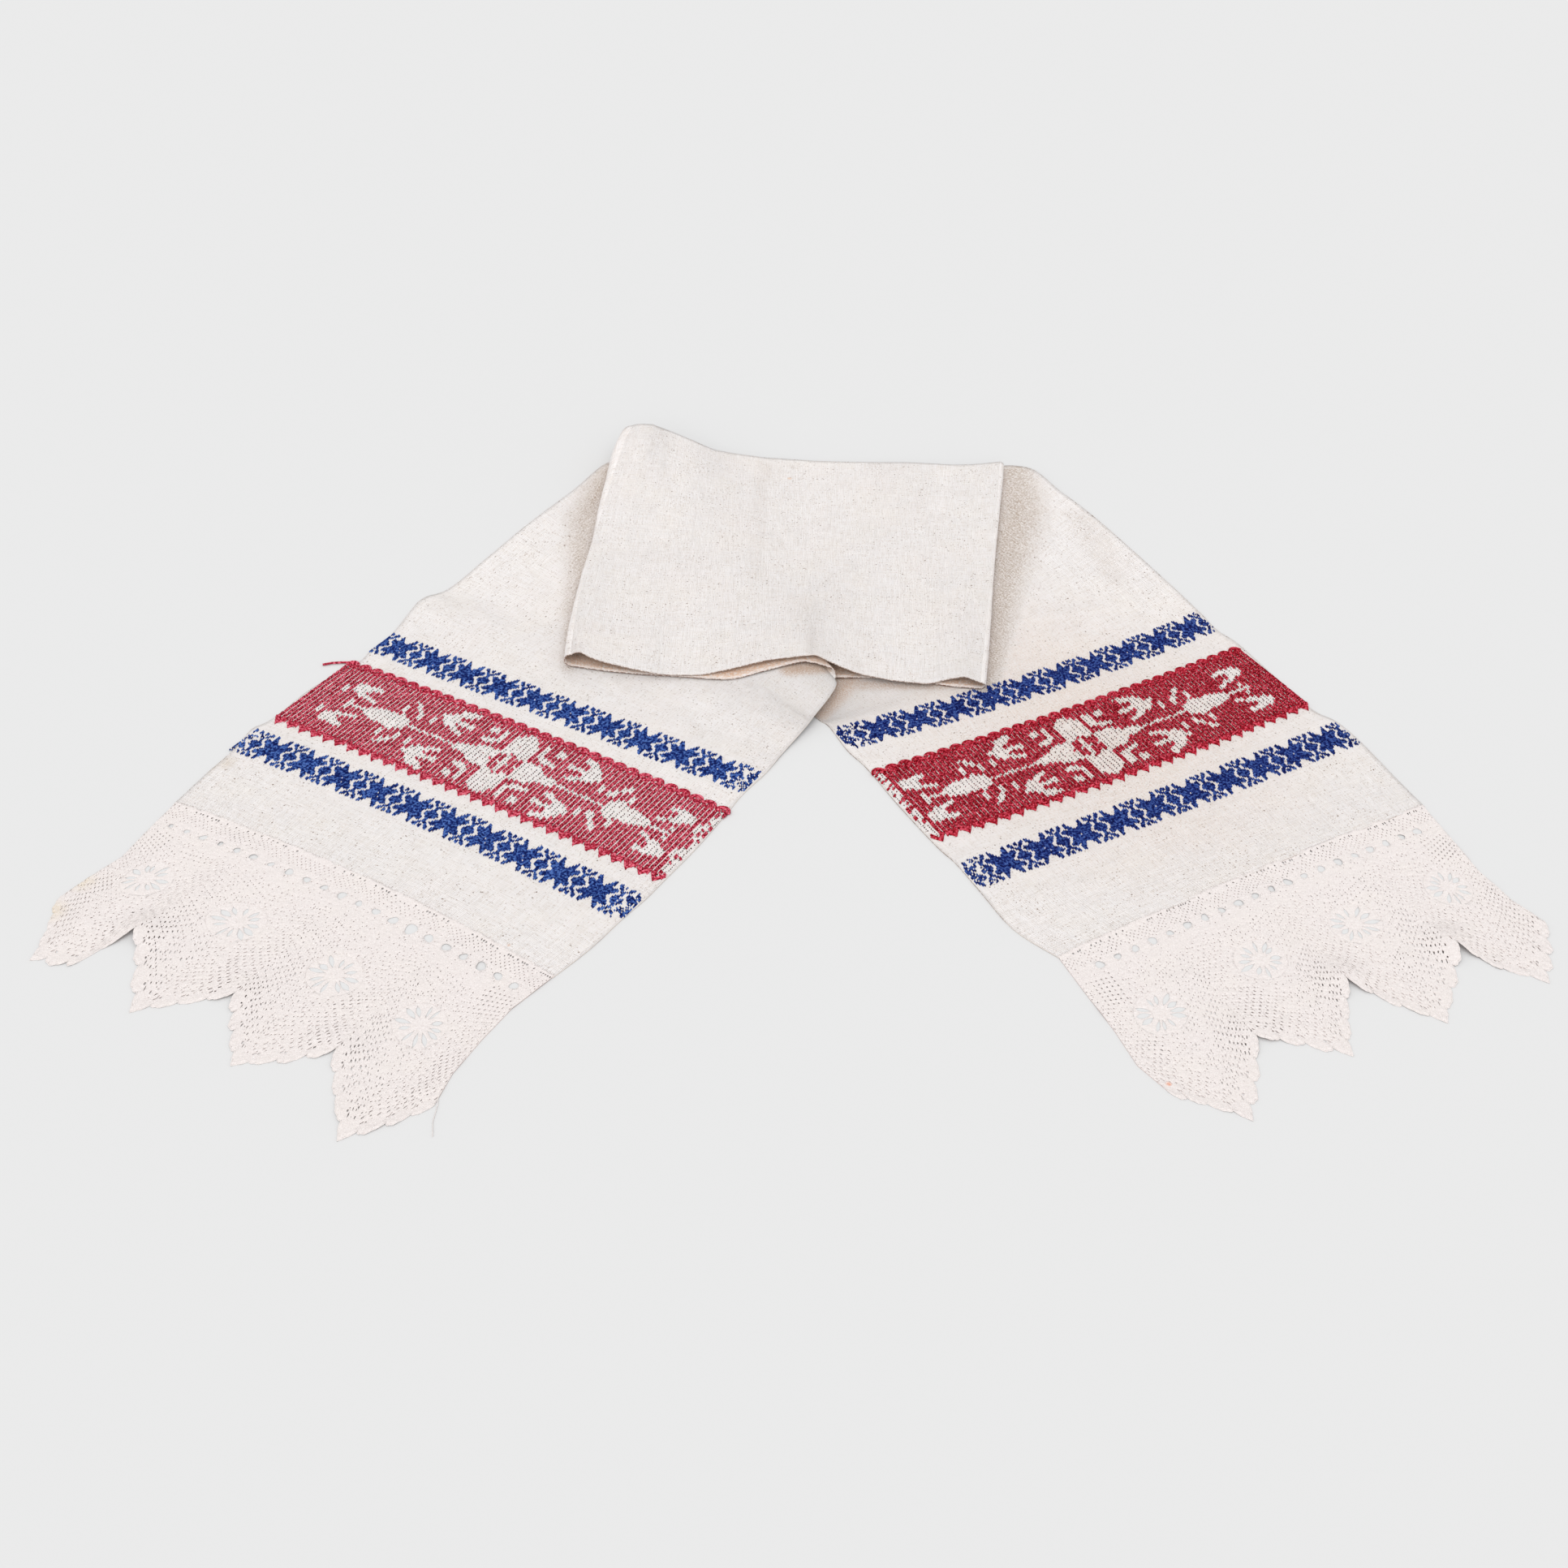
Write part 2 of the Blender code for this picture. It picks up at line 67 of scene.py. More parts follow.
# Sections of the left arm, from the bend under the panel to the seam.
# name, back u, back v, back z, middle u, middle v, middle z, front u, front v, front z
LEFT_ARM = (
    ("bend", 0.0245, -0.2686, FLOOR, 0.205, -0.157, FLOOR, 0.3909, -0.0363, 0.0098),
    ("turn", -0.0110, -0.2527, 0.0030, 0.195, -0.135, FLOOR, 0.3976, -0.0282, 0.0100),
    ("shoulder", -0.0105, -0.1900, 0.0014, 0.196, -0.095, FLOOR, 0.4016, -0.0071, 0.0098),
    ("over the other arm", -0.0110, -0.1200, FLOOR, 0.197, -0.049, FLOOR, 0.4037, 0.0203, 0.0090),
    ("coming down", -0.0070, -0.0480, FLOOR, 0.198, -0.010, FLOOR, 0.4038, 0.0297, 0.0070),
    ("almost down", -0.0035, 0.0200, FLOOR, 0.198, 0.026, FLOOR, 0.4034, 0.0443, 0.0045),
    ("down", -0.0140, 0.0490, FLOOR, 0.197, 0.061, FLOOR, 0.4030, 0.0691, 0.0016),
    ("upper blue top", -0.0006, 0.1060, FLOOR, 0.199, 0.1049, FLOOR, 0.4048, 0.1014, FLOOR),
    ("upper blue bottom", 0.0008, 0.1372, FLOOR, 0.200, 0.1360, FLOOR, 0.4036, 0.1352, FLOOR),
    ("red top", 0.0036, 0.1617, FLOOR, 0.201, 0.1568, FLOOR, 0.4055, 0.1599, FLOOR),
    ("red middle", -0.0056, 0.2107, FLOOR, 0.202, 0.2076, FLOOR, 0.4090, 0.2120, FLOOR),
    ("red bottom", -0.0040, 0.2640, FLOOR, 0.202, 0.2584, FLOOR, 0.4092, 0.2639, FLOOR),
    ("lower blue top", -0.0090, 0.2846, FLOOR, 0.202, 0.2816, FLOOR, 0.4092, 0.2868, FLOOR),
    ("lower blue bottom", -0.0020, 0.3127, FLOOR, 0.202, 0.3068, FLOOR, 0.4070, 0.3147, FLOOR),
    ("plain end", 0.0025, 0.3560, FLOOR, 0.203, 0.3460, FLOOR, 0.4055, 0.3560, FLOOR),
    ("seam", 0.0075, 0.3945, FLOOR, 0.203, 0.3845, FLOOR, 0.4000, 0.3965, FLOOR),
)

# Sections of the right arm, the same way round.  Its front edge is its left one.
RIGHT_ARM = (
    ("bend", 0.3711, -0.2309, FLOOR, 0.185, -0.1145, FLOOR, -0.0007, 0.0020, FLOOR),
    ("turn", 0.3928, -0.2196, 0.0030, 0.190, -0.1030, FLOOR, 0.0000, 0.0140, FLOOR),
    ("shoulder", 0.4080, -0.1990, 0.0036, 0.196, -0.0880, FLOOR, 0.0000, 0.0260, FLOOR),
    ("beside the panel", 0.4093, -0.1542, 0.0016, 0.200, -0.0580, FLOOR, 0.0000, 0.0380, FLOOR),
    ("slanting down", 0.4118, -0.1100, FLOOR, 0.203, -0.0310, FLOOR, 0.0006, 0.0490, FLOOR),
    ("corner of the crossing", 0.4100, -0.0600, FLOOR, 0.203, 0.0000, FLOOR, 0.0009, 0.0600, FLOOR),
    ("down", 0.4055, 0.0150, FLOOR, 0.202, 0.0490, FLOOR, 0.0025, 0.0700, FLOOR),
    ("upper blue top", 0.3990, 0.0901, FLOOR, 0.202, 0.0984, FLOOR, 0.0050, 0.0810, FLOOR),
    ("upper blue bottom", 0.3950, 0.1227, FLOOR, 0.202, 0.1298, FLOOR, 0.0020, 0.1183, FLOOR),
    ("red top", 0.3980, 0.1502, FLOOR, 0.200, 0.1568, FLOOR, 0.0041, 0.1465, FLOOR),
    ("red middle", 0.3945, 0.2040, FLOOR, 0.199, 0.2110, FLOOR, 0.0020, 0.2050, FLOOR),
    ("red bottom", 0.3915, 0.2620, FLOOR, 0.198, 0.2651, FLOOR, 0.0022, 0.2633, FLOOR),
    ("lower blue top", 0.3985, 0.2862, FLOOR, 0.198, 0.2907, FLOOR, 0.0045, 0.2870, FLOOR),
    ("lower blue bottom", 0.3975, 0.3203, FLOOR, 0.199, 0.3214, FLOOR, 0.0033, 0.3243, FLOOR),
    ("plain end", 0.3900, 0.3720, FLOOR, 0.198, 0.3690, FLOOR, 0.0021, 0.3750, FLOOR),
    ("seam", 0.3850, 0.4125, FLOOR, 0.200, 0.4115, FLOOR, 0.0150, 0.4190, FLOOR),
)

# Sections of the top panel from its left bend to its right bend.
# name, front x, front y, front z, middle x, middle y, middle z, back x, back y, back z
PANEL = (
    ("left bend", -0.1970, 0.0785, 0.0160, -0.1923, 0.265, 0.0098, -0.1640, 0.4740, 0.0310),
    ("raised corner", -0.1889, 0.0797, 0.0178, -0.1800, 0.265, 0.0100, -0.1550, 0.4720, 0.0340),
    ("corner roll", -0.1708, 0.0726, 0.0132, -0.1650, 0.260, 0.0100, -0.1420, 0.4700, 0.0345),
    ("hump falls", -0.1334, 0.0630, 0.0090, -0.1300, 0.260, 0.0098, -0.1230, 0.4660, 0.0285),
    ("hump foot", -0.1107, 0.0602, 0.0068, -0.1050, 0.260, 0.0095, -0.1000, 0.4585, 0.0220),
    ("low front", -0.0802, 0.0596, 0.0072, -0.0780, 0.258, 0.0095, -0.0780, 0.4535, 0.0140),
    ("front lifts", -0.0529, 0.0632, 0.0108, -0.0500, 0.255, 0.0092, -0.0560, 0.4520, 0.0100),
    ("before the crossing", -0.0210, 0.0703, 0.0150, -0.0200, 0.250, 0.0085, -0.0250, 0.4500, 0.0065),
    ("on the crossing", 0.0125, 0.0727, 0.0185, 0.0120, 0.250, 0.0078, 0.0100, 0.4465, 0.0058),
    ("crest", 0.0242, 0.0731, 0.0188, 0.0300, 0.250, 0.0078, 0.0350, 0.4440, 0.0056),
    ("past the crossing", 0.0401, 0.0620, 0.0176, 0.0500, 0.248, 0.0080, 0.0600, 0.4420, 0.0060),
    ("front drops", 0.0630, 0.0573, 0.0095, 0.0750, 0.246, 0.0086, 0.0900, 0.4390, 0.0070),
    ("second low front", 0.0917, 0.0515, 0.0064, 0.1050, 0.243, 0.0095, 0.1200, 0.4360, 0.0085),
    ("front sags", 0.1230, 0.0471, 0.0060, 0.1350, 0.240, 0.0098, 0.1500, 0.4310, 0.0100),
    ("second roll", 0.1371, 0.0498, 0.0078, 0.1500, 0.238, 0.0098, 0.1700, 0.4275, 0.0108),
    ("raised right corner", 0.1554, 0.0479, 0.0132, 0.1720, 0.236, 0.0098, 0.1950, 0.4265, 0.0122),
    ("right bend", 0.1692, 0.0389, 0.0135, 0.1950, 0.235, 0.0098, 0.2185, 0.4290, 0.0135),
)

# The hidden runs between the panel and each arm, from the panel's bend to the slanted one.
UNDER_LEFT = (
    ("panel bend", -0.1974, 0.0786, 0.0034, -0.1923, 0.265, UNDER, -0.1640, 0.4560, 0.0055),
    ("corner", -0.1691, 0.0716, 0.0034, -0.1650, 0.262, UNDER, -0.1600, 0.4540, UNDER),
    ("first third", -0.1358, 0.0657, 0.0036, -0.1450, 0.258, UNDER, -0.1575, 0.4515, UNDER),
    ("middle", -0.0960, 0.0603, 0.0043, -0.1220, 0.256, UNDER, -0.1550, 0.4490, UNDER),
    ("rising", -0.0529, 0.0538, 0.0064, -0.1000, 0.254, UNDER, -0.1535, 0.4460, UNDER),
    ("higher", -0.0211, 0.0630, 0.0095, -0.0850, 0.253, UNDER, -0.1520, 0.4440, UNDER),
    ("on the crossing", 0.0141, 0.0716, 0.0132, -0.0660, 0.251, UNDER, -0.1510, 0.4420, UNDER),
    ("slanted bend", 0.0375, 0.0600, 0.0140, -0.0545, 0.2505, UNDER, -0.1500, 0.4400, UNDER),
)
UNDER_RIGHT = (
    ("panel bend", 0.1693, 0.0434, 0.0036, 0.1950, 0.235, UNDER, 0.2185, 0.4300, 0.0055),
    ("corner", 0.1402, 0.0484, 0.0032, 0.1780, 0.239, UNDER, 0.2150, 0.4330, 0.0055),
    ("middle", 0.1002, 0.0586, 0.0030, 0.1550, 0.243, UNDER, 0.2125, 0.4360, 0.0055),
    ("far", 0.0490, 0.0602, 0.0036, 0.1250, 0.247, UNDER, 0.2100, 0.4380, 0.0055),
    ("slanted bend", -0.0080, 0.0569, 0.0045, 0.0998, 0.248, UNDER, 0.2075, 0.4390, UNDER),
)

# Main creases of the arms, in each arm's own frame: a ridge is above 0, a trough below.
# side, from u, from v, to u, to v, half width, height
ARM_CREASES = (
    ("left", 0.000, -0.235, 0.050, -0.075, 0.0050, 0.0016),
    ("left", 0.018, -0.230, 0.078, -0.060, 0.0042, 0.0013),
    ("left", 0.040, -0.215, 0.104, -0.035, 0.0045, 0.0012),
    ("left", 0.062, -0.190, 0.128, -0.008, 0.0040, 0.0010),
    ("left", 0.088, -0.150, 0.150, 0.020, 0.0045, 0.0008),
    ("left", 0.006, 0.018, 0.072, 0.046, 0.0060, 0.0014),
    ("left", -0.012, 0.056, 0.040, 0.066, 0.0050, 0.0012),
    ("left", 0.300, 0.040, 0.404, 0.075, 0.0090, 0.0012),
    ("left", 0.180, 0.055, 0.330, 0.086, 0.0080, 0.0007),
    ("left", 0.010, 0.335, 0.110, 0.372, 0.0060, 0.0007),
    ("left", 0.250, 0.330, 0.390, 0.350, 0.0070, 0.0006),
    ("right", 0.395, -0.175, 0.330, -0.060, 0.0050, 0.0014),
    ("right", 0.380, -0.150, 0.318, -0.030, 0.0040, 0.0010),
    ("right", 0.405, -0.120, 0.345, -0.010, 0.0050, 0.0009),
    ("right", 0.310, 0.335, 0.319, 0.398, 0.0030, 0.0011),
    ("right", 0.230, 0.020, 0.400, 0.055, 0.0090, 0.0008),
    ("right", 0.030, 0.345, 0.170, 0.375, 0.0080, 0.0006),
)

# Creases of the panel, in the towel's frame: the storage crease and the soft rolls beside it.
# from x, from y, to x, to y, half width, height
PANEL_CREASES = (
    (-0.0254, 0.4482, -0.0290, 0.3725, 0.0040, -0.0011),
    (-0.0290, 0.3725, -0.0333, 0.2215, 0.0040, -0.0010),
    (-0.0200, 0.4400, -0.0250, 0.2300, 0.0060, 0.0006),
    (-0.0182, 0.3223, 0.0162, 0.1362, 0.0070, -0.0009),
    (-0.1500, 0.4400, -0.1200, 0.3300, 0.0120, 0.0012),
    (0.1200, 0.4100, 0.1500, 0.1800, 0.0140, 0.0008),
    (-0.1300, 0.0800, -0.1000, 0.2000, 0.0140, 0.0010),
    (0.0800, 0.0700, 0.0950, 0.1900, 0.0140, 0.0010),
)

WARP_PITCH = 0.00105
WEFT_PITCH = 0.00115
THREAD_ROUNDING = 0.6
WEAVE_DEPTH = 0.00038

# Colours of the weave from 0 to 255, and faint clouds in it: noise scale and colour.
THREAD_GAP = (214, 210, 208)
THREAD_CREAM = (236, 232, 231)
SLUB_CREAM = (216, 208, 202)
CLOUDS = ((11.0, (232, 220, 215)), (15.0, (225, 220, 218)), (19.0, (234, 226, 214)))

# Openings between threads and darker fibres: cells a metre, size in cells, colour, share of cells.
PIN_HOLES = (
    (520.0, 0.17, (188, 174, 164), 0.50),
    (340.0, 0.13, (160, 142, 130), 0.30),
    (190.0, 0.09, (124, 102, 88), 0.35),
)

# Marks that age has left on the cloth.
# x, y, radius, colour 0 to 255, strength
CLOTH_MARKS = (
    (-0.0035, 0.4115, 0.0030, (214, 160, 112), 0.75),
    (-0.5000, -0.0640, 0.0100, (196, 176, 150), 0.55),
    (-0.4850, -0.0560, 0.0120, (200, 182, 158), 0.45),
    (-0.1861, -0.2227, 0.0018, (214, 150, 96), 0.80),
    (-0.2201, -0.2835, 0.0020, (214, 150, 96), 0.80),
)

# Painted shade on the cloth in its folds, creases and hollows, in the arms' own frames and in the towel's for
# the panel.
# part, from x, y and width, to x, y and width, strength, tint from 0 for grey to 1 for tan
PAINTED_FOLD_SHADE = (
    ("left", -0.006, -0.262, 0.030, 0.030, -0.160, 0.034, 0.46, 0.1),
    ("left", 0.030, -0.160, 0.034, 0.080, -0.080, 0.026, 0.42, 0.1),
    ("left", 0.080, -0.080, 0.026, 0.172, 0.064, 0.014, 0.36, 0.1),
    ("right", 0.392, -0.210, 0.034, 0.345, -0.140, 0.050, 0.50, 0.1),
    ("right", 0.345, -0.140, 0.050, 0.275, -0.052, 0.036, 0.52, 0.1),
    ("right", 0.275, -0.052, 0.036, 0.158, 0.098, 0.018, 0.48, 0.1),
    ("right", 0.400, -0.100, 0.030, 0.360, 0.010, 0.020, 0.12, 0.1),
    ("right", 0.062, 0.020, 0.026, 0.006, 0.062, 0.014, 0.72, 0.7),
    ("right", 0.050, 0.034, 0.016, 0.130, 0.080, 0.010, 0.50, 0.6),
    ("left", 0.350, -0.030, 0.016, 0.380, -0.052, 0.016, 1.15, 0.6),
    ("right", 0.200, 0.150, 0.240, 0.200, 0.230, 0.240, 0.20, 0.8),
    ("panel", -0.0290, 0.4440, 0.014, -0.0330, 0.3700, 0.013, 0.09, 0.1),
    ("panel", -0.0330, 0.3700, 0.013, -0.0370, 0.2200, 0.012, 0.07, 0.1),
    ("panel", 0.0100, 0.1700, 0.030, 0.0200, 0.0850, 0.014, 0.05, 0.1),
)
# Painted shade on the hidden runs, seen in the hollows under the panel's front: its strength further in and
# at the front edge, and over how many columns it grows.
HIDDEN_SHADE = 1.05
FRONT_EDGE_SHADE = 0.15
FRONT_COLUMNS = 1.8
# Colours of the painted shade: grey in the folds beside the panel, tan in the hollows.
FOLD_SHADE_GREY = (168, 153, 139)
HOLLOW_SHADE_TAN = (213, 179, 154)
# Tint where no shade is painted.  The strip's bare sides take it as how strongly their dark spots show.
UNSHADED_TINT = {"left": 0.1, "panel": 0.8, "right": 0.1}
SELVEDGE_CREAM = (216, 206, 198)
SELVEDGE_DARK = (112, 76, 56)


def on_arm(side, u, v, z):
    """A point given in an arm's frame, as a place in the towel's frame."""
    x, y, degrees = ARM_FRAMES[side]
    turn = math.radians(degrees)
    across = Vector((math.cos(turn), math.sin(turn), 0))
    down = Vector((math.sin(turn), -math.cos(turn), 0))
    return Vector((x + SHIFT_X, y + SHIFT_Y, z)) + across * u + down * v


def ease(t):
    """Zero slope at both ends."""
    return t * t * (3 - 2 * t)


def bow(start, middle, end, t):
    """The value at t, from 0 to 1, on a smooth bow through three values."""
    return start * (1 - t) * (1 - 2 * t) + middle * 4 * t * (1 - t) + end * t * (2 * t - 1)


def across_line(front, middle, back):
    """Points over the width: a smooth bow in plan, eased heights between the three."""
    line = []
    for column in range(SHEET_COLUMNS + 1):
        t = column / SHEET_COLUMNS
        point = bow(front, middle, back, t)
        if t < 0.5:
            point.z = front.z + (middle.z - front.z) * ease(2 * t)
        else:
            point.z = middle.z + (back.z - middle.z) * ease(2 * t - 1)
        line.append(point)
    return line


def plan_lines(table):
    """Lines for a table that is given in the towel's frame."""
    shift = Vector((SHIFT_X, SHIFT_Y, 0))
    return [across_line(Vector(row[1:4]) + shift, Vector(row[4:7]) + shift,
                        Vector(row[7:10]) + shift) for row in table]


def arm_lines(side, table):
    """Lines for a table that is given in an arm's frame, back edge first in its rows."""
    return [across_line(on_arm(side, *row[7:10]), on_arm(side, *row[4:7]),
                        on_arm(side, *row[1:4])) for row in table]


def fill_between(lines, spacing):
    """Extra lines about a spacing apart, curved in plan and even in height."""
    filled = []
    middle = SHEET_COLUMNS // 2
    for index in range(len(lines) - 1):
        before = lines[max(index - 1, 0)]
        here = lines[index]
        after = lines[index + 1]
        beyond = lines[min(index + 2, len(lines) - 1)]
        longest = max((here[c] - after[c]).length for c in (0, middle, SHEET_COLUMNS))
        steps = max(1, round(longest / spacing))
        for step in range(steps):
            t = step / steps
            line = []
            for a, b, c, d in zip(before, here, after, beyond):
                point = (b * 2 + (c - a) * t + (a * 2 - b * 5 + c * 4 - d) * t * t
                         + (b * 3 - a - c * 3 + d) * t ** 3) * 0.5
                point.z = b.z + (c.z - b.z) * t
                line.append(point)
            filled.append(line)
    filled.append(lines[-1])
    return filled


def bend(upper, lower, outward):
    """Half-round turn from one layer's last line to the next layer's first line."""
    lines = []
    for step in range(1, ARC_ROWS):
        angle = math.pi * step / ARC_ROWS
        line = []
        for top, bottom in zip(upper, lower):
            radius = abs(top.z - bottom.z) / 2
            point = top.lerp(bottom, (1 - math.cos(angle)) / 2)
            line.append(point + outward * radius * math.sin(angle))
        lines.append(line)
    return lines


def outward_of(line, side_sign):
    """Level direction square to a line, to its left (1) or its right (-1)."""
    run = line[-1] - line[0]
    return Vector((-run.y, run.x, 0)).normalized() * side_sign


def crease_lift(creases, x, y):
    """Height of all creases at a place: a soft bell across each, faded at its ends."""
    lift = 0.0
    for from_x, from_y, to_x, to_y, half_width, height in creases:
        run_x = to_x - from_x
        run_y = to_y - from_y
        length = math.hypot(run_x, run_y)
        along = ((x - from_x) * run_x + (y - from_y) * run_y) / length
        aside = ((x - from_x) * run_y - (y - from_y) * run_x) / length
        fade_length = CREASE_FADE * length
        if abs(aside) > 3 * half_width or along < -fade_length or along > length + fade_length:
            continue
        fade = min(1.0, (along + fade_length) / (2 * fade_length),
                   (length + fade_length - along) / (2 * fade_length))
        lift += height * math.exp(-(aside / half_width) ** 2) * ease(max(0.0, fade))
    return lift


def slow_swell(x, y, swells):
    """The unevenness of cloth that was folded and laid down by hand."""
    return sum(height * noise.noise(Vector((x / size, y / size, 0.37))) for size, height in swells)


# Size and height of the swells in an arm and in the panel.
ARM_SWELLS = ((0.035, 0.0008), (0.012, 0.0003))
PANEL_SWELLS = ((0.050, 0.0012), (0.014, 0.0004))
# How far cloth lies off the floor at least, and what is left of the relief along the strip's sides.
LIE_LOOSE = 0.0002
SIDE_RELIEF = 0.35
SIDE_SHARE = 0.07
ARM_RIDGES = [(*on_arm(side, u0, v0, 0)[:2], *on_arm(side, u1, v1, 0)[:2], half_width, height)
              for side, u0, v0, u1, v1, half_width, height in ARM_CREASES]


def arm_relief(x, y):
    """How far the cloth of an arm stands up from its even sections."""
    return max(0.0, slow_swell(x, y, ARM_SWELLS) + crease_lift(ARM_RIDGES, x, y) + LIE_LOOSE)


def panel_relief(x, y):
    """How far the panel's cloth stands off its even sections."""
    return slow_swell(x, y, PANEL_SWELLS) + crease_lift(PANEL_CREASES, x, y)


def calm(share):
    """How much of the relief is left at a share of the strip's width: less along its sides."""
    inward = min(1.0, max(0.0, min(share, 1 - share) / SIDE_SHARE))
    return SIDE_RELIEF + (1 - SIDE_RELIEF) * ease(inward)


def raised(lines, relief):
    """The same lines with a relief added to their heights."""
    for line in lines:
        for column, point in enumerate(line):
            point.z += relief(point.x, point.y) * calm(column / SHEET_COLUMNS)
    return lines


def srgb(red, green, blue):
    """A colour of 0 to 255 as the linear one that a shader takes."""
    values = [c / 255 for c in (red, green, blue)]
    return (*((c / 12.92 if c <= 0.04045 else ((c + 0.055) / 1.055) ** 2.4) for c in values), 1.0)


def add_node(tree, kind, links=(), **settings):
    """A node with its settings, and with some inputs linked or set by name or number."""
    made = tree.nodes.new(kind)
    for name, value in settings.items():
        setattr(made, name, value)
    for socket, value in links:
        if isinstance(value, bpy.types.NodeSocket):
            tree.links.new(value, made.inputs[socket])
        else:
            made.inputs[socket].default_value = value
    return made


def math_node(tree, operation, first, second=0.0):
    """The output of one sum."""
    return add_node(tree, "ShaderNodeMath", ((0, first), (1, second)), operation=operation).outputs[0]


def blend_colours(tree, factor, first, second):
    """The output of a mix of two colours."""
    made = add_node(tree, "ShaderNodeMix", ((0, factor), (6, first), (7, second)), data_type="RGBA")
    return made.outputs[2]


def spread(tree, value, low, high, to_low, to_high):
    """A value taken from one range to another and held inside it."""
    made = add_node(tree, "ShaderNodeMapRange", ((0, value), (1, low), (2, high), (3, to_low), (4, to_high)))
    return made.outputs[0]


def noise_value(tree, vector, scale, detail=2.0, rough=0.5):
    """The grey output of a noise."""
    made = add_node(tree, "ShaderNodeTexNoise",
                    (("Vector", vector), ("Scale", scale), ("Detail", detail), ("Roughness", rough)))
    return made.outputs[0]


def stretched(tree, vector, factors):
    """Coordinates scaled along each axis."""
    made = add_node(tree, "ShaderNodeVectorMath", ((0, vector), (1, factors)), operation="MULTIPLY")
    return made.outputs[0]


def start_finish(name, roughness, specular=0.12, sheen=0.08):
    """A new material with its tree and its shader."""
    material = bpy.data.materials.new(name)
    material.use_nodes = True
    shader = material.node_tree.nodes["Principled BSDF"]
    shader.inputs["Roughness"].default_value = roughness
    shader.inputs["Specular IOR Level"].default_value = specular
    shader.inputs["Sheen Weight"].default_value = sheen
    shader.inputs["Sheen Roughness"].default_value = 0.6
    return material, material.node_tree, shader


def add_bump(tree, shader, height, strength, depth):
    """A fine relief on a material."""
    bump = add_node(tree, "ShaderNodeBump", (("Height", height), ("Strength", strength), ("Distance", depth)))
    tree.links.new(bump.outputs[0], shader.inputs["Normal"])


def shade_map_values(tree):
    """The two values of a piece's map of painted shade."""
    wear_map = add_node(tree, "ShaderNodeUVMap", uv_map="shade_map")
    return add_node(tree, "ShaderNodeSeparateXYZ", ((0, wear_map.outputs[0]),)).outputs


def wave(tree, value, pitch):
    """Rounded threads side by side, a pitch apart."""
    turned = math_node(tree, "SINE", math_node(tree, "MULTIPLY", value, math.pi / pitch))
    return math_node(tree, "POWER", math_node(tree, "ABSOLUTE", turned), THREAD_ROUNDING)


def marks_over(tree, colour, marks):
    """Old stains over a colour, ragged at their rims."""
    place = add_node(tree, "ShaderNodeTexCoord").outputs["Object"]
    level = stretched(tree, place, (1, 1, 0))
    ragged = noise_value(tree, place, 420.0, 3.0, 0.7)
    for x, y, radius, tint, strength in marks:
        away = add_node(tree, "ShaderNodeVectorMath", ((0, level), (1, (x, y, 0))),
                        operation="DISTANCE").outputs["Value"]
        amount = spread(tree, away, radius, 0.2 * radius, 0.0, strength)
        amount = math_node(tree, "MULTIPLY", amount, spread(tree, ragged, 0.35, 0.6, 0.35, 1.0))
        colour = blend_colours(tree, amount, colour, srgb(*tint))
    return colour


